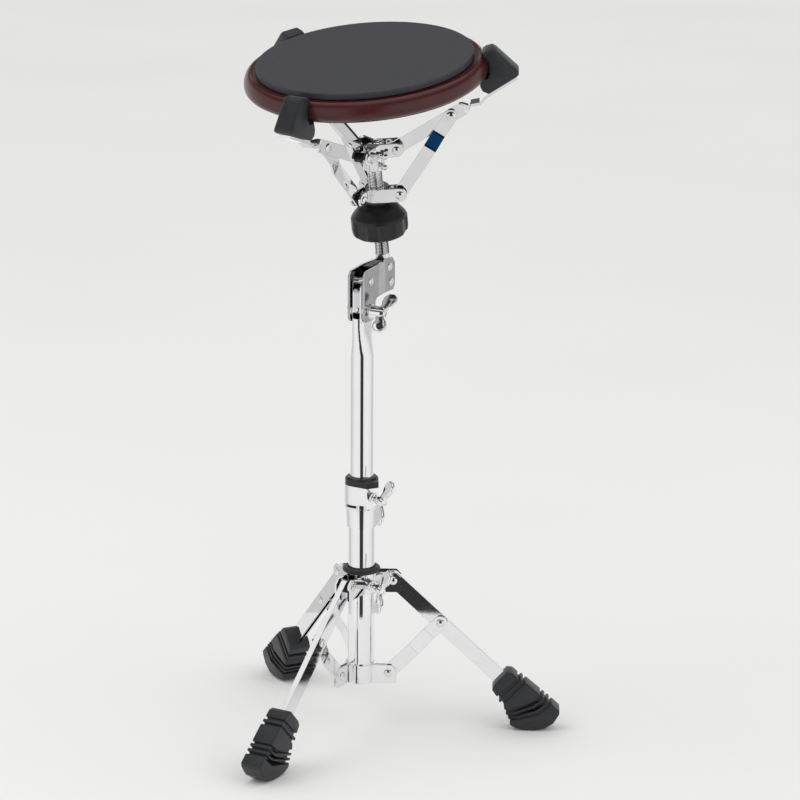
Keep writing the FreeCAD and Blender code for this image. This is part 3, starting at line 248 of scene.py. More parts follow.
# Plating on flat sheet: darkest and lightest tone, smoothest and roughest finish.
STRAP_FINISH = ((0.84, 0.84, 0.85), (0.90, 0.90, 0.91), 0.025, 0.05)
# The band's darker border, painted shade at the folds across its ends: where it starts and is full, in from
# the band's ends, and how dark it is.
BORDER_START = 1.6
BORDER_FULL = 0.9
BORDER_SHADE = 0.22


def marked_chrome(name, place, start, end, tint):
    """Bright plating with a tinted band across the strap between two distances along it."""
    material = chrome(name, *STRAP_FINISH, edged=True)
    tree = material.node_tree
    shader = next(item for item in tree.nodes if item.type == "BSDF_PRINCIPLED")
    plain = shader.inputs["Base Color"].links[0].from_socket
    where = add(tree, "TexCoord").outputs["Object"]
    origin, along = place.translation, place.to_3x3().col[0]
    offset = add(tree, "VectorMath", {0: where, 1: origin}, operation="SUBTRACT").outputs[0]
    reach = add(tree, "VectorMath", {0: offset, 1: along}, operation="DOT_PRODUCT").outputs["Value"]
    past = add(tree, "Math", {0: reach, 1: start * MM}, operation="GREATER_THAN").outputs[0]
    short = add(tree, "Math", {0: reach, 1: end * MM}, operation="LESS_THAN").outputs[0]
    inside = add(tree, "Math", {0: past, 1: short}, operation="MULTIPLY").outputs[0]
    middle, half = (start + end) / 2 * MM, (end - start) / 2 * MM
    away = add(tree, "Math", {0: reach, 1: middle}, operation="SUBTRACT").outputs[0]
    away = add(tree, "Math", {0: away}, operation="ABSOLUTE").outputs[0]
    inputs = {"Value": away, "From Min": half - BORDER_START * MM, "From Max": half - BORDER_FULL * MM}
    border = add(tree, "MapRange", inputs).outputs[0]
    # The border darkens the tint towards the band's ends: painted shade at the folds.
    tinted = add(tree, "Mix", data_type="RGBA")
    tree.links.new(border, tinted.inputs["Factor"])
    tinted.inputs["A"].default_value = (*tint, 1.0)
    tinted.inputs["B"].default_value = (*(level * BORDER_SHADE for level in tint), 1.0)
    mix = add(tree, "Mix", data_type="RGBA")
    tree.links.new(inside, mix.inputs["Factor"])
    tree.links.new(plain, mix.inputs["A"])
    tree.links.new(tinted.outputs["Result"], mix.inputs["B"])
    tree.links.new(mix.outputs["Result"], shader.inputs["Base Color"])
    return material


MATERIALS = {
    "chrome_tube": chrome("chrome_tube", (0.88, 0.88, 0.89), (0.92, 0.92, 0.93), 0.02, 0.045),
    "chrome_strap": chrome("chrome_strap", *STRAP_FINISH, edged=True),
    "chrome_fastener": chrome("chrome_fastener", (0.82, 0.80, 0.77), (0.89, 0.875, 0.85), 0.06, 0.12),
    "dark_plate": chrome("dark_plate", (0.42, 0.42, 0.43), (0.50, 0.50, 0.51), 0.10, 0.18),
    "playing_rubber": rubber(
        "playing_rubber", (0.032, 0.033, 0.042), (0.041, 0.042, 0.052), 0.50, 0.62, 2600.0, 0.00006
    ),
    "black_rubber": rubber(
        "black_rubber", (0.0140, 0.0148, 0.0175), (0.0210, 0.0220, 0.0255), 0.38, 0.50, 1800.0, 0.00008, 0.05
    ),
    "black_plastic": rubber(
        "black_plastic", (0.0080, 0.0080, 0.0085), (0.0120, 0.0120, 0.0125), 0.32, 0.42, 2400.0, 0.00004
    ),
    "lacquered_wood": lacquer("lacquered_wood"),
}


# ---------------------------------------------------------------- mesh helpers
def rounded(points, radius, steps=4):
    """Closed outline with each corner turned into a curve; a third number is that corner's own radius."""
    result = []
    count = len(points)
    for index, point in enumerate(points):
        own = point[2] if len(point) > 2 else radius
        corner = Vector(point[:2])
        before = Vector(points[index - 1][:2]) - corner
        after = Vector(points[(index + 1) % count][:2]) - corner
        half = before.angle(after) / 2
        reach = min(own / max(math.tan(half), 0.05), before.length * 0.48, after.length * 0.48)
        if own <= 0.0 or reach < 1e-4:
            result.append(tuple(corner))
            continue
        start = corner + before.normalized() * reach
        end = corner + after.normalized() * reach
        for step in range(steps + 1):
            share = step / steps
            spot = start.lerp(corner, share).lerp(corner.lerp(end, share), share)
            result.append(tuple(spot))
    return result


def rounded_line(points, radius, steps=4):
    """Open line with its inner corners turned into curves."""
    first, last = (*points[0][:2], 0.0), (*points[-1][:2], 0.0)
    return rounded([first, *points[1:-1], last], radius, steps)


def bridge(bm, lower, upper):
    """Faces between two rings of vertices; a ring of one vertex is a pole."""
    count = max(len(lower), len(upper))
    if count == 1:
        return
    for index in range(count):
        following = (index + 1) % count
        corners = [lower[index % len(lower)]]
        if len(lower) > 1:
            corners.append(lower[following])
        if len(upper) > 1:
            corners.append(upper[following])
        corners.append(upper[index % len(upper)])
        bm.faces.new(corners)


def lathe(bm, profile, segments, closed=False, ripple=None):
    """Turns (radius, height) points about z; ripple(angle, radius, height) may change a point's radius."""
    rings = []
    for radius, height in profile:
        ring = []
        for index in range(segments if radius > 1e-6 else 1):
            angle = 2 * math.pi * index / segments
            reach = ripple(angle, radius, height) if ripple else radius
            ring.append(bm.verts.new((reach * math.cos(angle), reach * math.sin(angle), height)))
        rings.append(ring)
    for lower, upper in zip(rings, rings[1:]):
        bridge(bm, lower, upper)
    if closed:
        bridge(bm, rings[-1], rings[0])


LOCAL = Matrix.Scale(MM, 4)


def piece(name, bm, place, slot, body, nodes=(), sharp=35.0):
    """Sets a drawn piece down in the row frame as its own object, riding on a body."""
    bmesh.ops.recalc_face_normals(bm, faces=bm.faces)
    mesh = bpy.data.meshes.new(name)
    bm.to_mesh(mesh)
    bm.free()
    mesh.transform(place @ LOCAL)
    mesh.shade_smooth()
    mesh.set_sharp_from_angle(angle=math.radians(sharp))
    item = bpy.data.objects.new(name, mesh)
    bpy.context.scene.collection.objects.link(item)
    mesh.materials.append(MATERIALS[slot])
    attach(item, body)
    if nodes:
        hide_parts(*nodes)


def body_of(node):
    return frame["nodes"][node]["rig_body"]


def dress(node, slot, edge=0.25, facet=32.0):
    """A CAD node kept as it is, with welded faces, softened edges and its own finish."""
    item = frame["nodes"][node]
    item.data.materials.clear()
    item.data.materials.append(MATERIALS[slot])
    if "custom_normal" in item.data.attributes:
        item.data.attributes.remove(item.data.attributes["custom_normal"])
    item.data.shade_smooth()
    weld = item.modifiers.new("weld", "WELD")
    weld.merge_threshold = 2e-6
    flatten = item.modifiers.new("flatten", "DECIMATE")
    flatten.decimate_type = "DISSOLVE"
    flatten.angle_limit = math.radians(0.6)
    soften = item.modifiers.new("soften", "BEVEL")
    soften.limit_method = "ANGLE"
    soften.angle_limit = math.radians(facet)
    soften.width = edge * MM
    soften.segments = 2
    soften.harden_normals = True


def inset(outline, depths):
    """Outline moved inwards by each point's own depth."""
    count = len(outline)
    area = sum(x0 * y1 - x1 * y0 for (x0, y0), (x1, y1) in zip(outline, outline[1:] + outline[:1]))
    side = 1.0 if area > 0 else -1.0
    moved = []
    for index in range(count):
        here = Vector(outline[index])
        before = (here - Vector(outline[index - 1])).normalized()
        after = (Vector(outline[(index + 1) % count]) - here).normalized()
        normal = Vector((-before.y - after.y, before.x + after.x)) * side
        scale = 2.0 / max(normal.length_squared, 0.8)
        moved.append(tuple(here + normal * scale * depths[index]))
    return moved


# Shapes of an eased rim, as (share inwards, share down) from its flat face to its wall.
CHAMFER = ((0.0, 1.0), (0.10, 0.72), (0.30, 0.42), (0.42, 0.30), (0.72, 0.10), (1.0, 0.0))
ROUND_TURNS = [math.pi / 2 * step / 4 for step in range(4, -1, -1)]
ROUND = tuple((1 - math.sin(turn), 1 - math.cos(turn)) for turn in ROUND_TURNS)


def soft_slab(bm, outline, low, high, edge, shape=ROUND, place=STAND):
    """A block from an outline, low to high in z; edge eases its rims, all alike or point by point."""
    sizes = edge if isinstance(edge, list) else [edge] * len(outline)
    rings = []
    steps = [(step, low, 1.0) for step in reversed(shape)] + [(step, high, -1.0) for step in shape]
    for (inward, down), level, sign in steps:
        ring = inset(outline, [inward * own for own in sizes])
        points = [Vector((x, y, level + sign * down * own)) for (x, y), own in zip(ring, sizes)]
        rings.append([bm.verts.new(place @ point) for point in points])
    bm.faces.new(rings[0][::-1])
    for lower, upper in zip(rings, rings[1:]):
        bridge(bm, lower, upper)
    bm.faces.new(rings[-1])


def side_plane(joint, base, up):
    """Frame on an axis: x outwards through a joint's link, y up the axis, z sideways; z is 0 in the link."""
    place = joint_place(joint, up)
    step = base.translation - place.translation
    x_axis, y_axis = place.to_3x3().col[0], place.to_3x3().col[1]
    place.translation = place.translation + x_axis * step.dot(x_axis) + y_axis * step.dot(y_axis)
    return place


# ---------------------------------------------------------------- pad
RUBBER_EDGE = 1.1
RIM_BELLY = 7.4
RIM_SHOULDER = 6.2
RIM_STEPS = 12


def make_playing_rubber():
    low, high = span("pad_playing_rubber", ROD)
    radius = high.x
    outline = [(0.0, high.z), (radius * 0.3, high.z), (radius * 0.6, high.z), (radius * 0.85, high.z)]
    corners = [(radius - 4.0, high.z), (radius - 0.1, high.z), (radius, low.z + 0.3), (radius - 0.6, low.z)]
    edge = rounded_line(corners, RUBBER_EDGE, 5)
    bm = bmesh.new()
    lathe(bm, outline + edge + [(radius * 0.5, low.z), (0.0, low.z)], 192)
    piece("playing_surface", bm, ROD, "playing_rubber", body_of("pad_playing_rubber"), ["pad_playing_rubber"])


def make_rim():
    """The turned base: a round belly, a lower shoulder and a deck just under the rubber."""
    low, high = span("pad_base_rim", ROD)
    radius, bottom, deck = high.x, low.z, high.z
    belly, shoulder = RIM_BELLY, RIM_SHOULDER
    points = [(0.0, bottom), (radius - belly - 12.0, bottom)]
    for step in range(RIM_STEPS + 1):
        turn = math.pi / 2 * step / RIM_STEPS
        points.append((radius - belly + belly * math.sin(turn), bottom + belly - belly * math.cos(turn)))
    rise = deck - bottom - belly
    for step in range(1, RIM_STEPS + 1):
        turn = math.pi / 2 * step / RIM_STEPS
        points.append((radius - shoulder + shoulder * math.cos(turn), bottom + belly + rise * math.sin(turn)))
    lip = radius - shoulder - 0.5
    points += [(lip, deck - 0.05), (lip - 0.35, deck - 0.45), (lip - 2.0, deck - 0.5), (0.0, deck - 0.5)]
    bm = bmesh.new()
    lathe(bm, points, 256)
    piece("pad_base", bm, ROD, "lacquered_wood", body_of("pad_base_rim"), ["pad_base_rim"], sharp=50.0)


MAT_TEETH = 386
TOOTH_DEPTH = 0.45
TOOTHED_EDGE = 2.0


def make_mat():
    """The mat under the base, its edge cut into fine teeth."""
    low, high = span("pad_bottom_mat", ROD)
    radius = high.x

    def tooth(angle, reach, height):
        if reach <= radius - TOOTHED_EDGE:
            return reach
        return reach - TOOTH_DEPTH * (0.5 - 0.5 * math.cos(MAT_TEETH * angle))

    profile = [
        (0.0, low.z),
        (radius * 0.5, low.z),
        (radius - 2.2, low.z),
        (radius - 0.25, low.z),
        (radius, low.z + 0.25),
        (radius, high.z - 0.1),
        (radius - 2.2, high.z),
        (0.0, high.z),
    ]
    bm = bmesh.new()
    lathe(bm, profile, MAT_TEETH * 4, ripple=tooth)
    piece("pad_underside_mat", bm, ROD, "black_rubber", body_of("pad_bottom_mat"), ["pad_bottom_mat"])


# ---------------------------------------------------------------- grips and feet
# Side outline as (radius, height, corner radius) in the arm's plane, and how far each corner's rim is eased.
GRIP_SIDE = (
    (111.5, 162.6, 0.6, 0.8),
    (137.5, 176.8, 1.0, 0.8),
    (140.3, 179.2, 1.2, 1.2),
    (139.9, 182.2, 1.2, 1.8),
    (121.2, 202.8, 3.0, 2.4),
    (117.4, 205.4, 2.5, 2.4),
    (111.8, 203.6, 1.5, 1.2),
    (108.3, 201.4, 0.4, 0.5),
    (108.3, 200.2, 0.4, 0.5),
    (113.4, 193.6, 1.0, 0.8),
    (113.4, 182.6, 1.0, 0.8),
    (111.0, 178.0, 1.0, 0.8),
    (104.4, 177.2, 0.8, 0.8),
    (104.0, 170.0, 1.0, 0.8),
    (106.0, 165.4, 1.0, 0.8),
)


def eased(side, steps=4):
    """Rounded outline of (x, y, corner radius, rim) points, and each outline point's rim size."""
    outline = rounded([point[:3] for point in side], 0.0, steps)
    rims = []
    for spot in outline:
        nearest = min(side, key=lambda point: math.hypot(point[0] - spot[0], point[1] - spot[1]))
        rims.append(nearest[3])
    return outline, rims


def make_grip(side):
    place = side_plane("arm_fold_" + side, ROD, ROD_UP)
    low, high = span("grip_" + side, place)
    outline, rims = eased(GRIP_SIDE)
    bm = bmesh.new()
    soft_slab(bm, outline, low.z, high.z, rims, CHAMFER)
    piece("pad_grip_" + side, bm, place, "black_rubber", body_of("grip_" + side), ["grip_" + side])


# Foot, as (along the leg from its pivot, outwards from the leg's middle).
FOOT_CORE = (
    (143.5, -10.5),
    (143.5, 10.0),
    (150.0, 11.2),
    (180.0, 13.6),
    (200.0, 14.0),
    (200.0, -4.0),
    (190.0, -14.0),
    (178.0, -20.0),
    (166.0, -17.0),
    (154.0, -13.0),
)
FOOT_CAP = ((141.0, -8.0), (141.0, 9.6), (145.2, 12.9), (152.6, 13.4), (151.4, -14.6), (143.4, -12.9))
FOOT_SHOULDER = ((161.0, -15.2), (161.2, 15.0), (180.4, 16.0), (179.4, 3.4), (165.9, -19.4))
FOOT_RIBS = (
    ((155.0, -15.8), (155.6, 14.2), (158.4, 14.5), (157.6, -16.6)),
    ((182.6, 16.2), (185.4, 16.3), (185.3, 2.4), (170.8, -21.4), (168.6, -20.4), (182.2, 2.9)),
    ((188.2, 16.5), (191.0, 16.6), (190.6, 1.2), (175.2, -22.8), (172.9, -22.0), (187.4, 1.8)),
)
# The toe, with each corner's own radius and how far its rim is eased: the sole is crowned side to side.
FOOT_TOE = (
    (194.0, 16.7, 1.4, 1.3),
    (204.6, 16.9, 1.4, 1.3),
    (207.0, 14.0, 1.4, 1.6),
    (209.4, 3.6, 4.0, 2.4),
    (206.9, -6.9, 4.0, 3.2),
    (201.8, -13.9, 1.0, 3.4),
    (194.9, -20.4, 1.0, 3.4),
    (187.6, -25.1, 3.0, 3.2),
    (180.1, -26.4, 1.4, 2.0),
    (177.2, -23.6, 1.0, 1.3),
    (192.8, 0.4, 1.4, 1.3),
)
# The ribs' width as a share of the foot's, the core's step in from its sides, and half the leg's height.
RIB_SHARE = 0.98
CORE_STEP = 1.9
LEG_HALF = 7.25


def leg_frame(side):
    """Frame of a leg: x down the leg from its pivot, y out from its upper face, z sideways."""
    place = joint_place("leg_fold_" + side, UP)
    low, high = span("leg_" + side, place)
    fall = math.atan2(-(low.y + LEG_HALF), high.x - LEG_HALF)
    return place @ Matrix.Rotation(-fall, 4, "Z")


def solid_object(name, bm):
    """A closed part as an object, its faces turned outwards."""
    bmesh.ops.recalc_face_normals(bm, faces=bm.faces)
    mesh = bpy.data.meshes.new(name)
    bm.to_mesh(mesh)
    bm.free()
    item = bpy.data.objects.new(name, mesh)
    bpy.context.scene.collection.objects.link(item)
    return item


def unite(name, parts):
    """One closed skin from overlapping closed parts."""
    objects = [solid_object("%s_part_%d" % (name, index), bm) for index, bm in enumerate(parts)]
    for tool in objects[1:]:
        modifier = objects[0].modifiers.new("join", "BOOLEAN")
        modifier.operation = "UNION"
        modifier.solver = "MANIFOLD"
        modifier.object = tool
    graph = bpy.context.evaluated_depsgraph_get()
    result = bmesh.new()
    result.from_mesh(objects[0].evaluated_get(graph).to_mesh())
    for item in objects:
        bpy.data.objects.remove(item)
    return result


def make_foot(side):
    place = leg_frame(side)
    low, high = span("foot_" + side, place)
    half = (high.z - low.z) / 2
    middle = (high.z + low.z) / 2
    core = bmesh.new()
    soft_slab(core, rounded(FOOT_CORE, 1.5), middle + CORE_STEP - half, middle + half - CORE_STEP, 0.6)
    solids = [core]
    for corners in (FOOT_CAP, FOOT_SHOULDER):
        block = bmesh.new()
        soft_slab(block, rounded(corners, 1.4, 3), middle - half, middle + half, 1.3)
        solids.append(block)
    for corners in FOOT_RIBS:
        rib = bmesh.new()
        reach = half * RIB_SHARE
        soft_slab(rib, rounded(corners, 0.5, 3), middle - reach, middle + reach, 0.55)
        solids.append(rib)
    toe = bmesh.new()
    outline, rims = eased(FOOT_TOE)
    soft_slab(toe, outline, middle - half, middle + half, rims)
    bm = unite("foot_" + side, solids + [toe])
    node = "foot_" + side
    piece("rubber_" + node, bm, place, "black_rubber", body_of(node), [node], sharp=40.0)


# ---------------------------------------------------------------- knob
# Recesses: their number, depth, heading, half width, the slope at their sides, and the floor's tilt.
KNOB_LOBES = 6
KNOB_FLAT = 2.8
KNOB_TURN = 40.2
RECESS_HALF = math.radians(13.5)
RECESS_FLANK = math.radians(6.5)
RECESS_FLOOR = math.radians(10.0)
KNOB_BORE = 7.05
KNOB_DOME = 14.6


def knob_reach(angle, radius, outer):
    """Radius of the knob's waist: round lobes with a flat-floored recess between each two."""
    pitch = 2 * math.pi / KNOB_LOBES
    turn = (angle - math.radians(KNOB_TURN)) % pitch - pitch / 2
    floor = (outer - KNOB_FLAT) * math.cos(RECESS_FLOOR) / math.cos(turn)
    share = min(max((abs(turn) - RECESS_HALF) / RECESS_FLANK, 0.0), 1.0)
    recess = floor + (outer - floor) * share
    return min(radius, recess)


def make_knob():
    low, high = span("adjusting_knob", ROD)
    outer = max(high.x, high.y)
    waist = high.z - KNOB_DOME
    profile = rounded(
        [
            (KNOB_BORE, low.z, 0.4),
            (outer - 4.0, low.z, 1.0),
            (outer - 0.8, low.z + 2.4, 1.5),
            (outer, low.z + 7.0, 3.0),
            (outer, waist - 0.1, 0.0),
            (outer, waist + 0.1, 0.3),
            (outer - 1.2, waist + 2.8, 2.5),
            (outer - 7.6, high.z - 4.0, 5.0),
            (outer - 14.5, high.z, 2.5),
            (KNOB_BORE, high.z, 0.4),
        ],
        1.0,
        4,
    )

    def reach(angle, radius, height):
        return knob_reach(angle, radius, outer) if height < waist else radius

    bm = bmesh.new()
    lathe(bm, profile, 360, closed=True, ripple=reach)
    piece("height_knob", bm, ROD, "black_plastic", body_of("adjusting_knob"), ["adjusting_knob"], sharp=28.0)


# ---------------------------------------------------------------- threaded rod
THREAD_PITCH = 1.5
THREAD_DEPTH = 0.75
THREAD_START = 10.0
THREAD_STEPS = 6
ROD_CHAMFER = 1.2
# The foot between the cheeks: half its thickness and its top.
FOOT_FLAT = 4.1
FOOT_TOP = 6.0


def make_rod():
    """The rod: a flattened foot between the cheeks, a plain neck, then a rolled thread to its top."""
    low, high = span("basket_rod", ROD)
    radius = high.y

    def reach(angle, own, height):
        if height <= FOOT_TOP:
            return min(own, FOOT_FLAT / max(abs(math.cos(angle)), 1e-6))
        if height < THREAD_START or height > high.z - 1.3:
            return own
        phase = (height / THREAD_PITCH - angle / (2 * math.pi)) % 1.0
        return own - THREAD_DEPTH * (1.0 - abs(2.0 * phase - 1.0))

    profile = [(0.0, low.z), (radius - 0.8, low.z), (radius, low.z + 0.8), (radius, FOOT_TOP)]
    profile += [(radius, FOOT_TOP + 0.01), (radius, THREAD_START - 0.01)]
    steps = int((high.z - ROD_CHAMFER - THREAD_START) / THREAD_PITCH * THREAD_STEPS)
    for step in range(steps + 1):
        profile.append((radius, THREAD_START + step * THREAD_PITCH / THREAD_STEPS))
    profile += [(radius, high.z - ROD_CHAMFER), (radius - ROD_CHAMFER, high.z), (0.0, high.z)]
    bm = bmesh.new()
    lathe(bm, profile, 48, ripple=reach)
    piece("threaded_rod", bm, ROD, "chrome_tube", body_of("basket_rod"), ["basket_rod"], sharp=25.0)


# ---------------------------------------------------------------- painted shade: a dark ring seen through the clamp's slit
SHADE_RING_WALL = (12.9, 13.9)
SHADE_RING_LOW = 220.6
SHADE_RING_HIGH = 225.6


def make_slit_shade_ring():
    """A black ring of painted shade, so the slit between the clamp and its tube shows dark."""
    inner, outer = SHADE_RING_WALL
    profile = rounded(
        [(inner, SHADE_RING_LOW), (outer, SHADE_RING_LOW), (outer, SHADE_RING_HIGH), (inner, SHADE_RING_HIGH)], 0.3, 2
    )
    bm = bmesh.new()
    lathe(bm, profile, 96, closed=True)
    piece("clamp_slit_shade_ring", bm, STAND, "black_plastic", body_of("height_bushing"))


# ---------------------------------------------------------------- wing bolts
WING_REACH = 16.5
WING_HALF = 7.0
WING_SHEET = 3.6
# Side view of one wing as (out from the bolt's axis, up the axis): a narrow root and a round paddle.
WING_SIDE = (
    (0.0, -4.4, 0.0),
    (8.0, -4.2, 3.0),
    (11.2, -6.2, 3.0),
    (16.5, -7.2, 4.0),
    (21.6, -5.2, 4.0),
    (23.6, 0.0, 4.0),
    (21.6, 5.2, 4.0),
    (16.5, 7.2, 4.0),
    (11.2, 6.2, 3.0),
    (8.0, 4.2, 3.0),
    (0.0, 4.4, 0.0),
)
SLIM_BARREL = (
    (0.0, -0.4),
    (5.2, -0.4, 0.2),
    (5.2, 2.2, 0.6),
    (3.6, 2.6, 0.3),
    (3.0, 3.0, 0.2),
    (3.0, 10.0, 0.3),
    (4.5, 11.2, 0.8),
    (4.9, 18.6, 1.5),
    (3.4, 21.4, 1.2),
    (1.6, 21.8, 0.3),
    (1.5, 21.2, 0.2),
    (0.0, 21.2),
)
STOUT_BARREL = (
    (0.0, -0.2),
    (7.4, -0.2, 0.3),
    (7.4, 1.3, 0.4),
    (6.2, 1.5, 0.3),
    (5.9, 11.6, 1.5),
    (4.6, 15.0, 1.0),
    (2.6, 15.6, 0.3),
    (2.4, 14.8, 0.2),
    (0.0, 14.8),
)


def make_wing_bolt(name, node, joint, barrel, wing_height, sweep, heading):
    """A bolt turned by two paddles; heading is the wings' direction, from the joint frame's own x."""
    place = joint_place(joint, UP)
    high = span(node, place)[1]
    seat = high.z - wing_height - WING_REACH * math.sin(math.radians(sweep)) - WING_HALF
    place = place @ shift(0, 0, seat)
    body = bmesh.new()
    lathe(body, rounded_line(list(barrel), 0.4, 3), 48)
    parts = [body]
    for flip in (0.0, 180.0):
        wing = bmesh.new()
        upright = Matrix.Rotation(math.radians(90.0), 4, "X") @ turn_z(sweep)
        spot = turn_z(heading + flip) @ Matrix.Translation((0, 0, wing_height)) @ upright
        soft_slab(wing, rounded(WING_SIDE, 1.0, 5), -WING_SHEET / 2, WING_SHEET / 2, 1.4, ROUND, spot)
        parts.append(wing)
    piece(name, unite(name, parts), place, "chrome_tube", body_of(node), [node], sharp=34.0)


make_playing_rubber()
make_rim()
make_mat()
for side in SIDES:
    make_grip(side)
    make_foot(side)
make_knob()
make_rod()
# A dark ring standing in for the shade inside the clamp's slit.
make_slit_shade_ring()
make_wing_bolt("leg_hub_wing", "leg_hub_wing_bolt", "leg_hub_wing_turn", SLIM_BARREL, 16.0, 26.0, 70.0)
make_wing_bolt("height_wing", "height_wing_bolt", "height_wing_turn", SLIM_BARREL, 15.5, 24.0, 69.0)
make_wing_bolt("tilter_wing", "tilter_wing_bolt", "tilter_wing_turn", STOUT_BARREL, 10.0, 17.0, 40.0)

# Where the blue band lies on the right-hand strut, along it from its lower pivot, and its colour.
BAND_START = 52.6
BAND_END = 68.0
BAND_TINT = (0.014, 0.092, 0.26)
SHEET_LINKS = ["leg_hub", "brace_hub", "upper_hub", "lower_hub"]
FASTENERS = [
    "brace_hub_rivets",
    "leg_hub_rivets",
    "tilter_pivot_bolt",
    "tilter_clamp_nut",
    "tilter_rod_rivets",
    "upper_hub_rivets",
    "lower_hub_rivets",
    "upper_hub_key_bolts",
    "rod_end_nut",
]
for side in SIDES:
    SHEET_LINKS += ["leg_" + side, "brace_" + side, "arm_" + side, "strut_" + side]
    FASTENERS += ["leg_rivet_" + side, "elbow_rivet_" + side]
PACKING = ["height_bushing", "tilter_liner", "leg_pivot_spacers", "arm_pivot_spacers", "strut_pivot_spacers"]


def mark_strut():
    """Puts the tinted band on strut a, whose line runs from its lower pivot to its elbow rivet."""
    place = joint_place("strut_fold_a", ROD_UP)
    low, high = span("elbow_rivet_a", place)
    elbow = (low + high) / 2
    place = place @ Matrix.Rotation(math.atan2(elbow.y, elbow.x), 4, "Z")
    band = marked_chrome("banded_strap", place, BAND_START, BAND_END, BAND_TINT)
    frame["nodes"]["strut_a"].data.materials[0] = band


for node_name in ("lower_tube", "upper_tube"):
    dress(node_name, "chrome_tube")
dress("height_clamp", "chrome_tube", 0.5)
for node_name in SHEET_LINKS:
    dress(node_name, "chrome_strap", 0.3, 12.0)
mark_strut()
for node_name in FASTENERS:
    dress(node_name, "chrome_fastener")
for node_name in ("tilter_cheek_front", "tilter_cheek_rear"):
    dress(node_name, "dark_plate", 0.35, 5.0)
for node_name in PACKING + ["knob_washer"]:
    dress(node_name, "black_plastic", 0.35)
dress("stop_ring", "black_rubber")


# ---------------------------------------------------------------- studio
FLOOR_NEAR = 0.36
FLOOR_FAR = 40.0
AMBIENT = (0.95, 0.95, 0.945, 1.0)
# The camera: heading round the stand, place in the turned frame, pitch, roll and lens.
CAMERA_HEADING = 25.17
CAMERA_SPOT = (0.03574, -2.8492, 1.0364)
CAMERA_PITCH = 75.962
CAMERA_ROLL = 0.374
CAMERA_LENS = 140.55


def stage_mesh(name, bm, material):
    mesh = bpy.data.meshes.new(name)
    bm.to_mesh(mesh)
    bm.free()
    mesh.materials.append(material)
    item = bpy.data.objects.new(name, mesh)
    bpy.context.scene.collection.objects.link(item)
    return item


def make_floor():
    """Pale floor in two rings: polished metal mirrors only the inner one, the rest of it sees the studio."""
    material, tree, shader = new_material("studio_floor")
    cloud = noise(tree, 1.5, 2.0)
    put(
        tree,
        shader,
        Base_Color=shade(tree, cloud, (0.80, 0.80, 0.795), (0.82, 0.82, 0.815)),
        Roughness=0.9,
        Specular_IOR_Level=0.1,
    )
    near = bmesh.new()
    lathe(near, [(0.0, 0.0), (FLOOR_NEAR, 0.0)], 96)
    stage_mesh("studio_floor_near", near, material)
    far = bmesh.new()
    lathe(far, [(FLOOR_NEAR, 0.0), (FLOOR_FAR, 0.0)], 96)
    stage_mesh("studio_floor_far", far, material).visible_glossy = False


def make_light(name, place, aim, size, power):
    """A soft light that polished metal does not mirror."""
    data = bpy.data.lights.new(name, "AREA")
    data.shape = "RECTANGLE"
    data.size, data.size_y = size
    data.energy = power
    item = bpy.data.objects.new(name, data)
    item.location = place
    item.rotation_euler = (Vector(aim) - Vector(place)).to_track_quat("-Z", "Y").to_euler()
    item.visible_glossy = False
    bpy.context.scene.collection.objects.link(item)


# What polished metal sees round the horizon, by angle from the camera's side (0 to 1 for 0 to 180 degrees).
HORIZON = (
    (0.0, 0.035),
    (0.072, 0.045),
    (0.092, 0.86),
    (0.30, 0.92),
    (0.50, 0.84),
    (0.63, 0.62),
    (0.72, 0.64),
    (0.88, 0.88),
    (1.0, 0.92),
)
# The same by height, from straight down to straight up; the middle part is where the horizon shows.
HEIGHTS = ((0.0, 0.72), (0.355, 0.72), (0.365, 0.0), (0.612, 0.0), (0.625, 0.10), (0.74, 0.12), (0.79, 0.90))
# Where that middle part fades in and out.
BELT_LOW = (0.36, 0.365)
BELT_HIGH = (0.612, 0.625)


def ramp(tree, value, stops):
    item = add(tree, "ValToRGB", {"Fac": value})
    elements = item.color_ramp.elements
    while len(elements) > 1:
        elements.remove(elements[-1])
    elements[0].position, elements[0].color = stops[0][0], (*(stops[0][1],) * 3, 1.0)
    for position, level in stops[1:]:
        elements.new(position).color = (level, level, level, 1.0)
    return item.outputs["Color"]


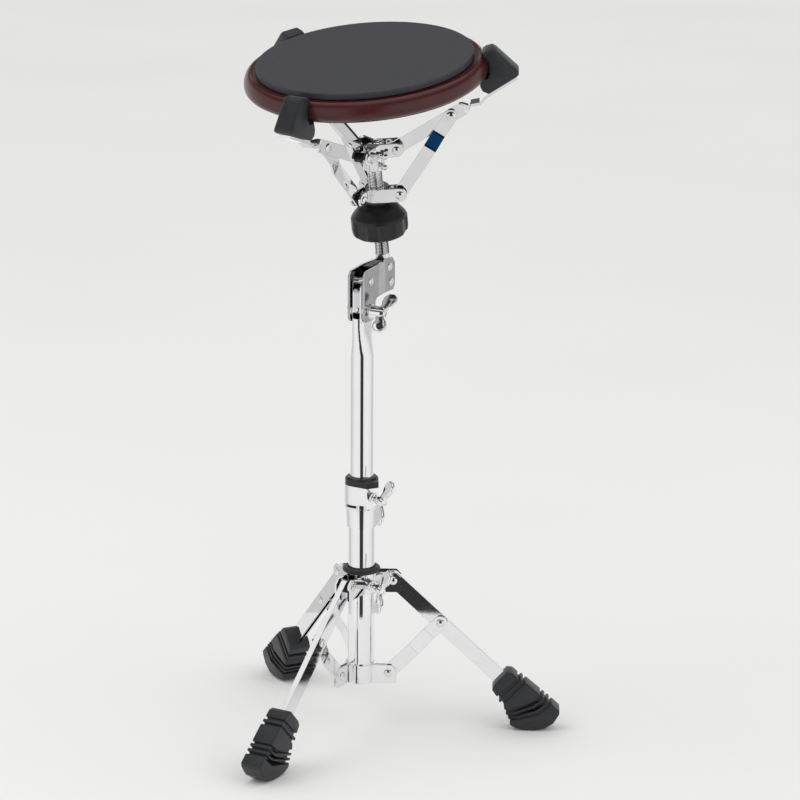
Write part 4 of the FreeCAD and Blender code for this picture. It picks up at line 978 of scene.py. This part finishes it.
def make_world():
    """Even white light on everything, with a separate studio for mirrors to see."""
    world = bpy.data.worlds.new("studio")
    world.use_nodes = True
    tree = world.node_tree
    tree.nodes.clear()
    heading = math.radians(CAMERA_HEADING)
    look = add(tree, "TexCoord").outputs["Generated"]
    towards = (math.sin(heading), -math.cos(heading), 0.0)
    aside = (math.cos(heading), math.sin(heading), 0.0)
    ahead = add(tree, "VectorMath", {0: look, 1: towards}, operation="DOT_PRODUCT").outputs["Value"]
    across = add(tree, "VectorMath", {0: look, 1: aside}, operation="DOT_PRODUCT").outputs["Value"]
    angle = add(tree, "Math", {0: across, 1: ahead}, operation="ARCTAN2").outputs[0]
    angle = add(tree, "Math", {0: angle}, operation="ABSOLUTE").outputs[0]
    angle = add(tree, "Math", {0: angle, 1: math.pi}, operation="DIVIDE").outputs[0]
    rise = add(tree, "SeparateXYZ", {"Vector": look}).outputs["Z"]
    rise = add(tree, "Math", {0: rise}, operation="ARCSINE").outputs[0]
    inputs = {"Value": rise, "From Min": -math.pi / 2, "From Max": math.pi / 2}
    rise = add(tree, "MapRange", inputs).outputs[0]
    inputs = {"Value": rise, "From Min": BELT_LOW[0], "From Max": BELT_LOW[1], "To Min": 0.0, "To Max": 1.0}
    above = add(tree, "MapRange", inputs).outputs[0]
    inputs = {"Value": rise, "From Min": BELT_HIGH[0], "From Max": BELT_HIGH[1], "To Min": 1.0, "To Max": 0.0}
    below = add(tree, "MapRange", inputs).outputs[0]
    belt = add(tree, "Math", {0: above, 1: below}, operation="MULTIPLY").outputs[0]
    seen = add(tree, "Mix", data_type="RGBA")
    tree.links.new(belt, seen.inputs["Factor"])
    tree.links.new(ramp(tree, rise, HEIGHTS), seen.inputs["A"])
    tree.links.new(ramp(tree, angle, HORIZON), seen.inputs["B"])
    mirror = add(tree, "LightPath").outputs["Is Glossy Ray"]
    final = add(tree, "Mix", data_type="RGBA")
    tree.links.new(mirror, final.inputs["Factor"])
    final.inputs["A"].default_value = AMBIENT
    tree.links.new(seen.outputs["Result"], final.inputs["B"])
    background = add(tree, "Background", {"Color": final.outputs["Result"], "Strength": 1.0})
    output = add(tree, "OutputWorld")
    tree.links.new(background.outputs[0], output.inputs["Surface"])
    bpy.context.scene.world = world


def make_camera():
    data = bpy.data.cameras.new("camera")
    data.sensor_width = 36.0
    data.lens = CAMERA_LENS
    data.clip_start, data.clip_end = 0.1, 100.0
    item = bpy.data.objects.new("camera", data)
    heading = Matrix.Rotation(math.radians(CAMERA_HEADING), 4, "Z")
    pitch = Matrix.Rotation(math.radians(CAMERA_PITCH), 4, "X")
    roll = Matrix.Rotation(math.radians(CAMERA_ROLL), 4, "Z")
    item.matrix_world = heading @ Matrix.Translation(CAMERA_SPOT) @ pitch @ roll
    bpy.context.scene.collection.objects.link(item)
    bpy.context.scene.camera = item


make_floor()
make_world()
make_light("key", (-1.6, -1.2, 2.6), (0, 0, 0.4), (1.8, 1.8), 14.0)
make_light("fill", (2.2, -0.4, 1.8), (0, 0, 0.4), (1.5, 1.5), 6.0)
make_camera()
bpy.context.scene.view_settings.view_transform = "Standard"
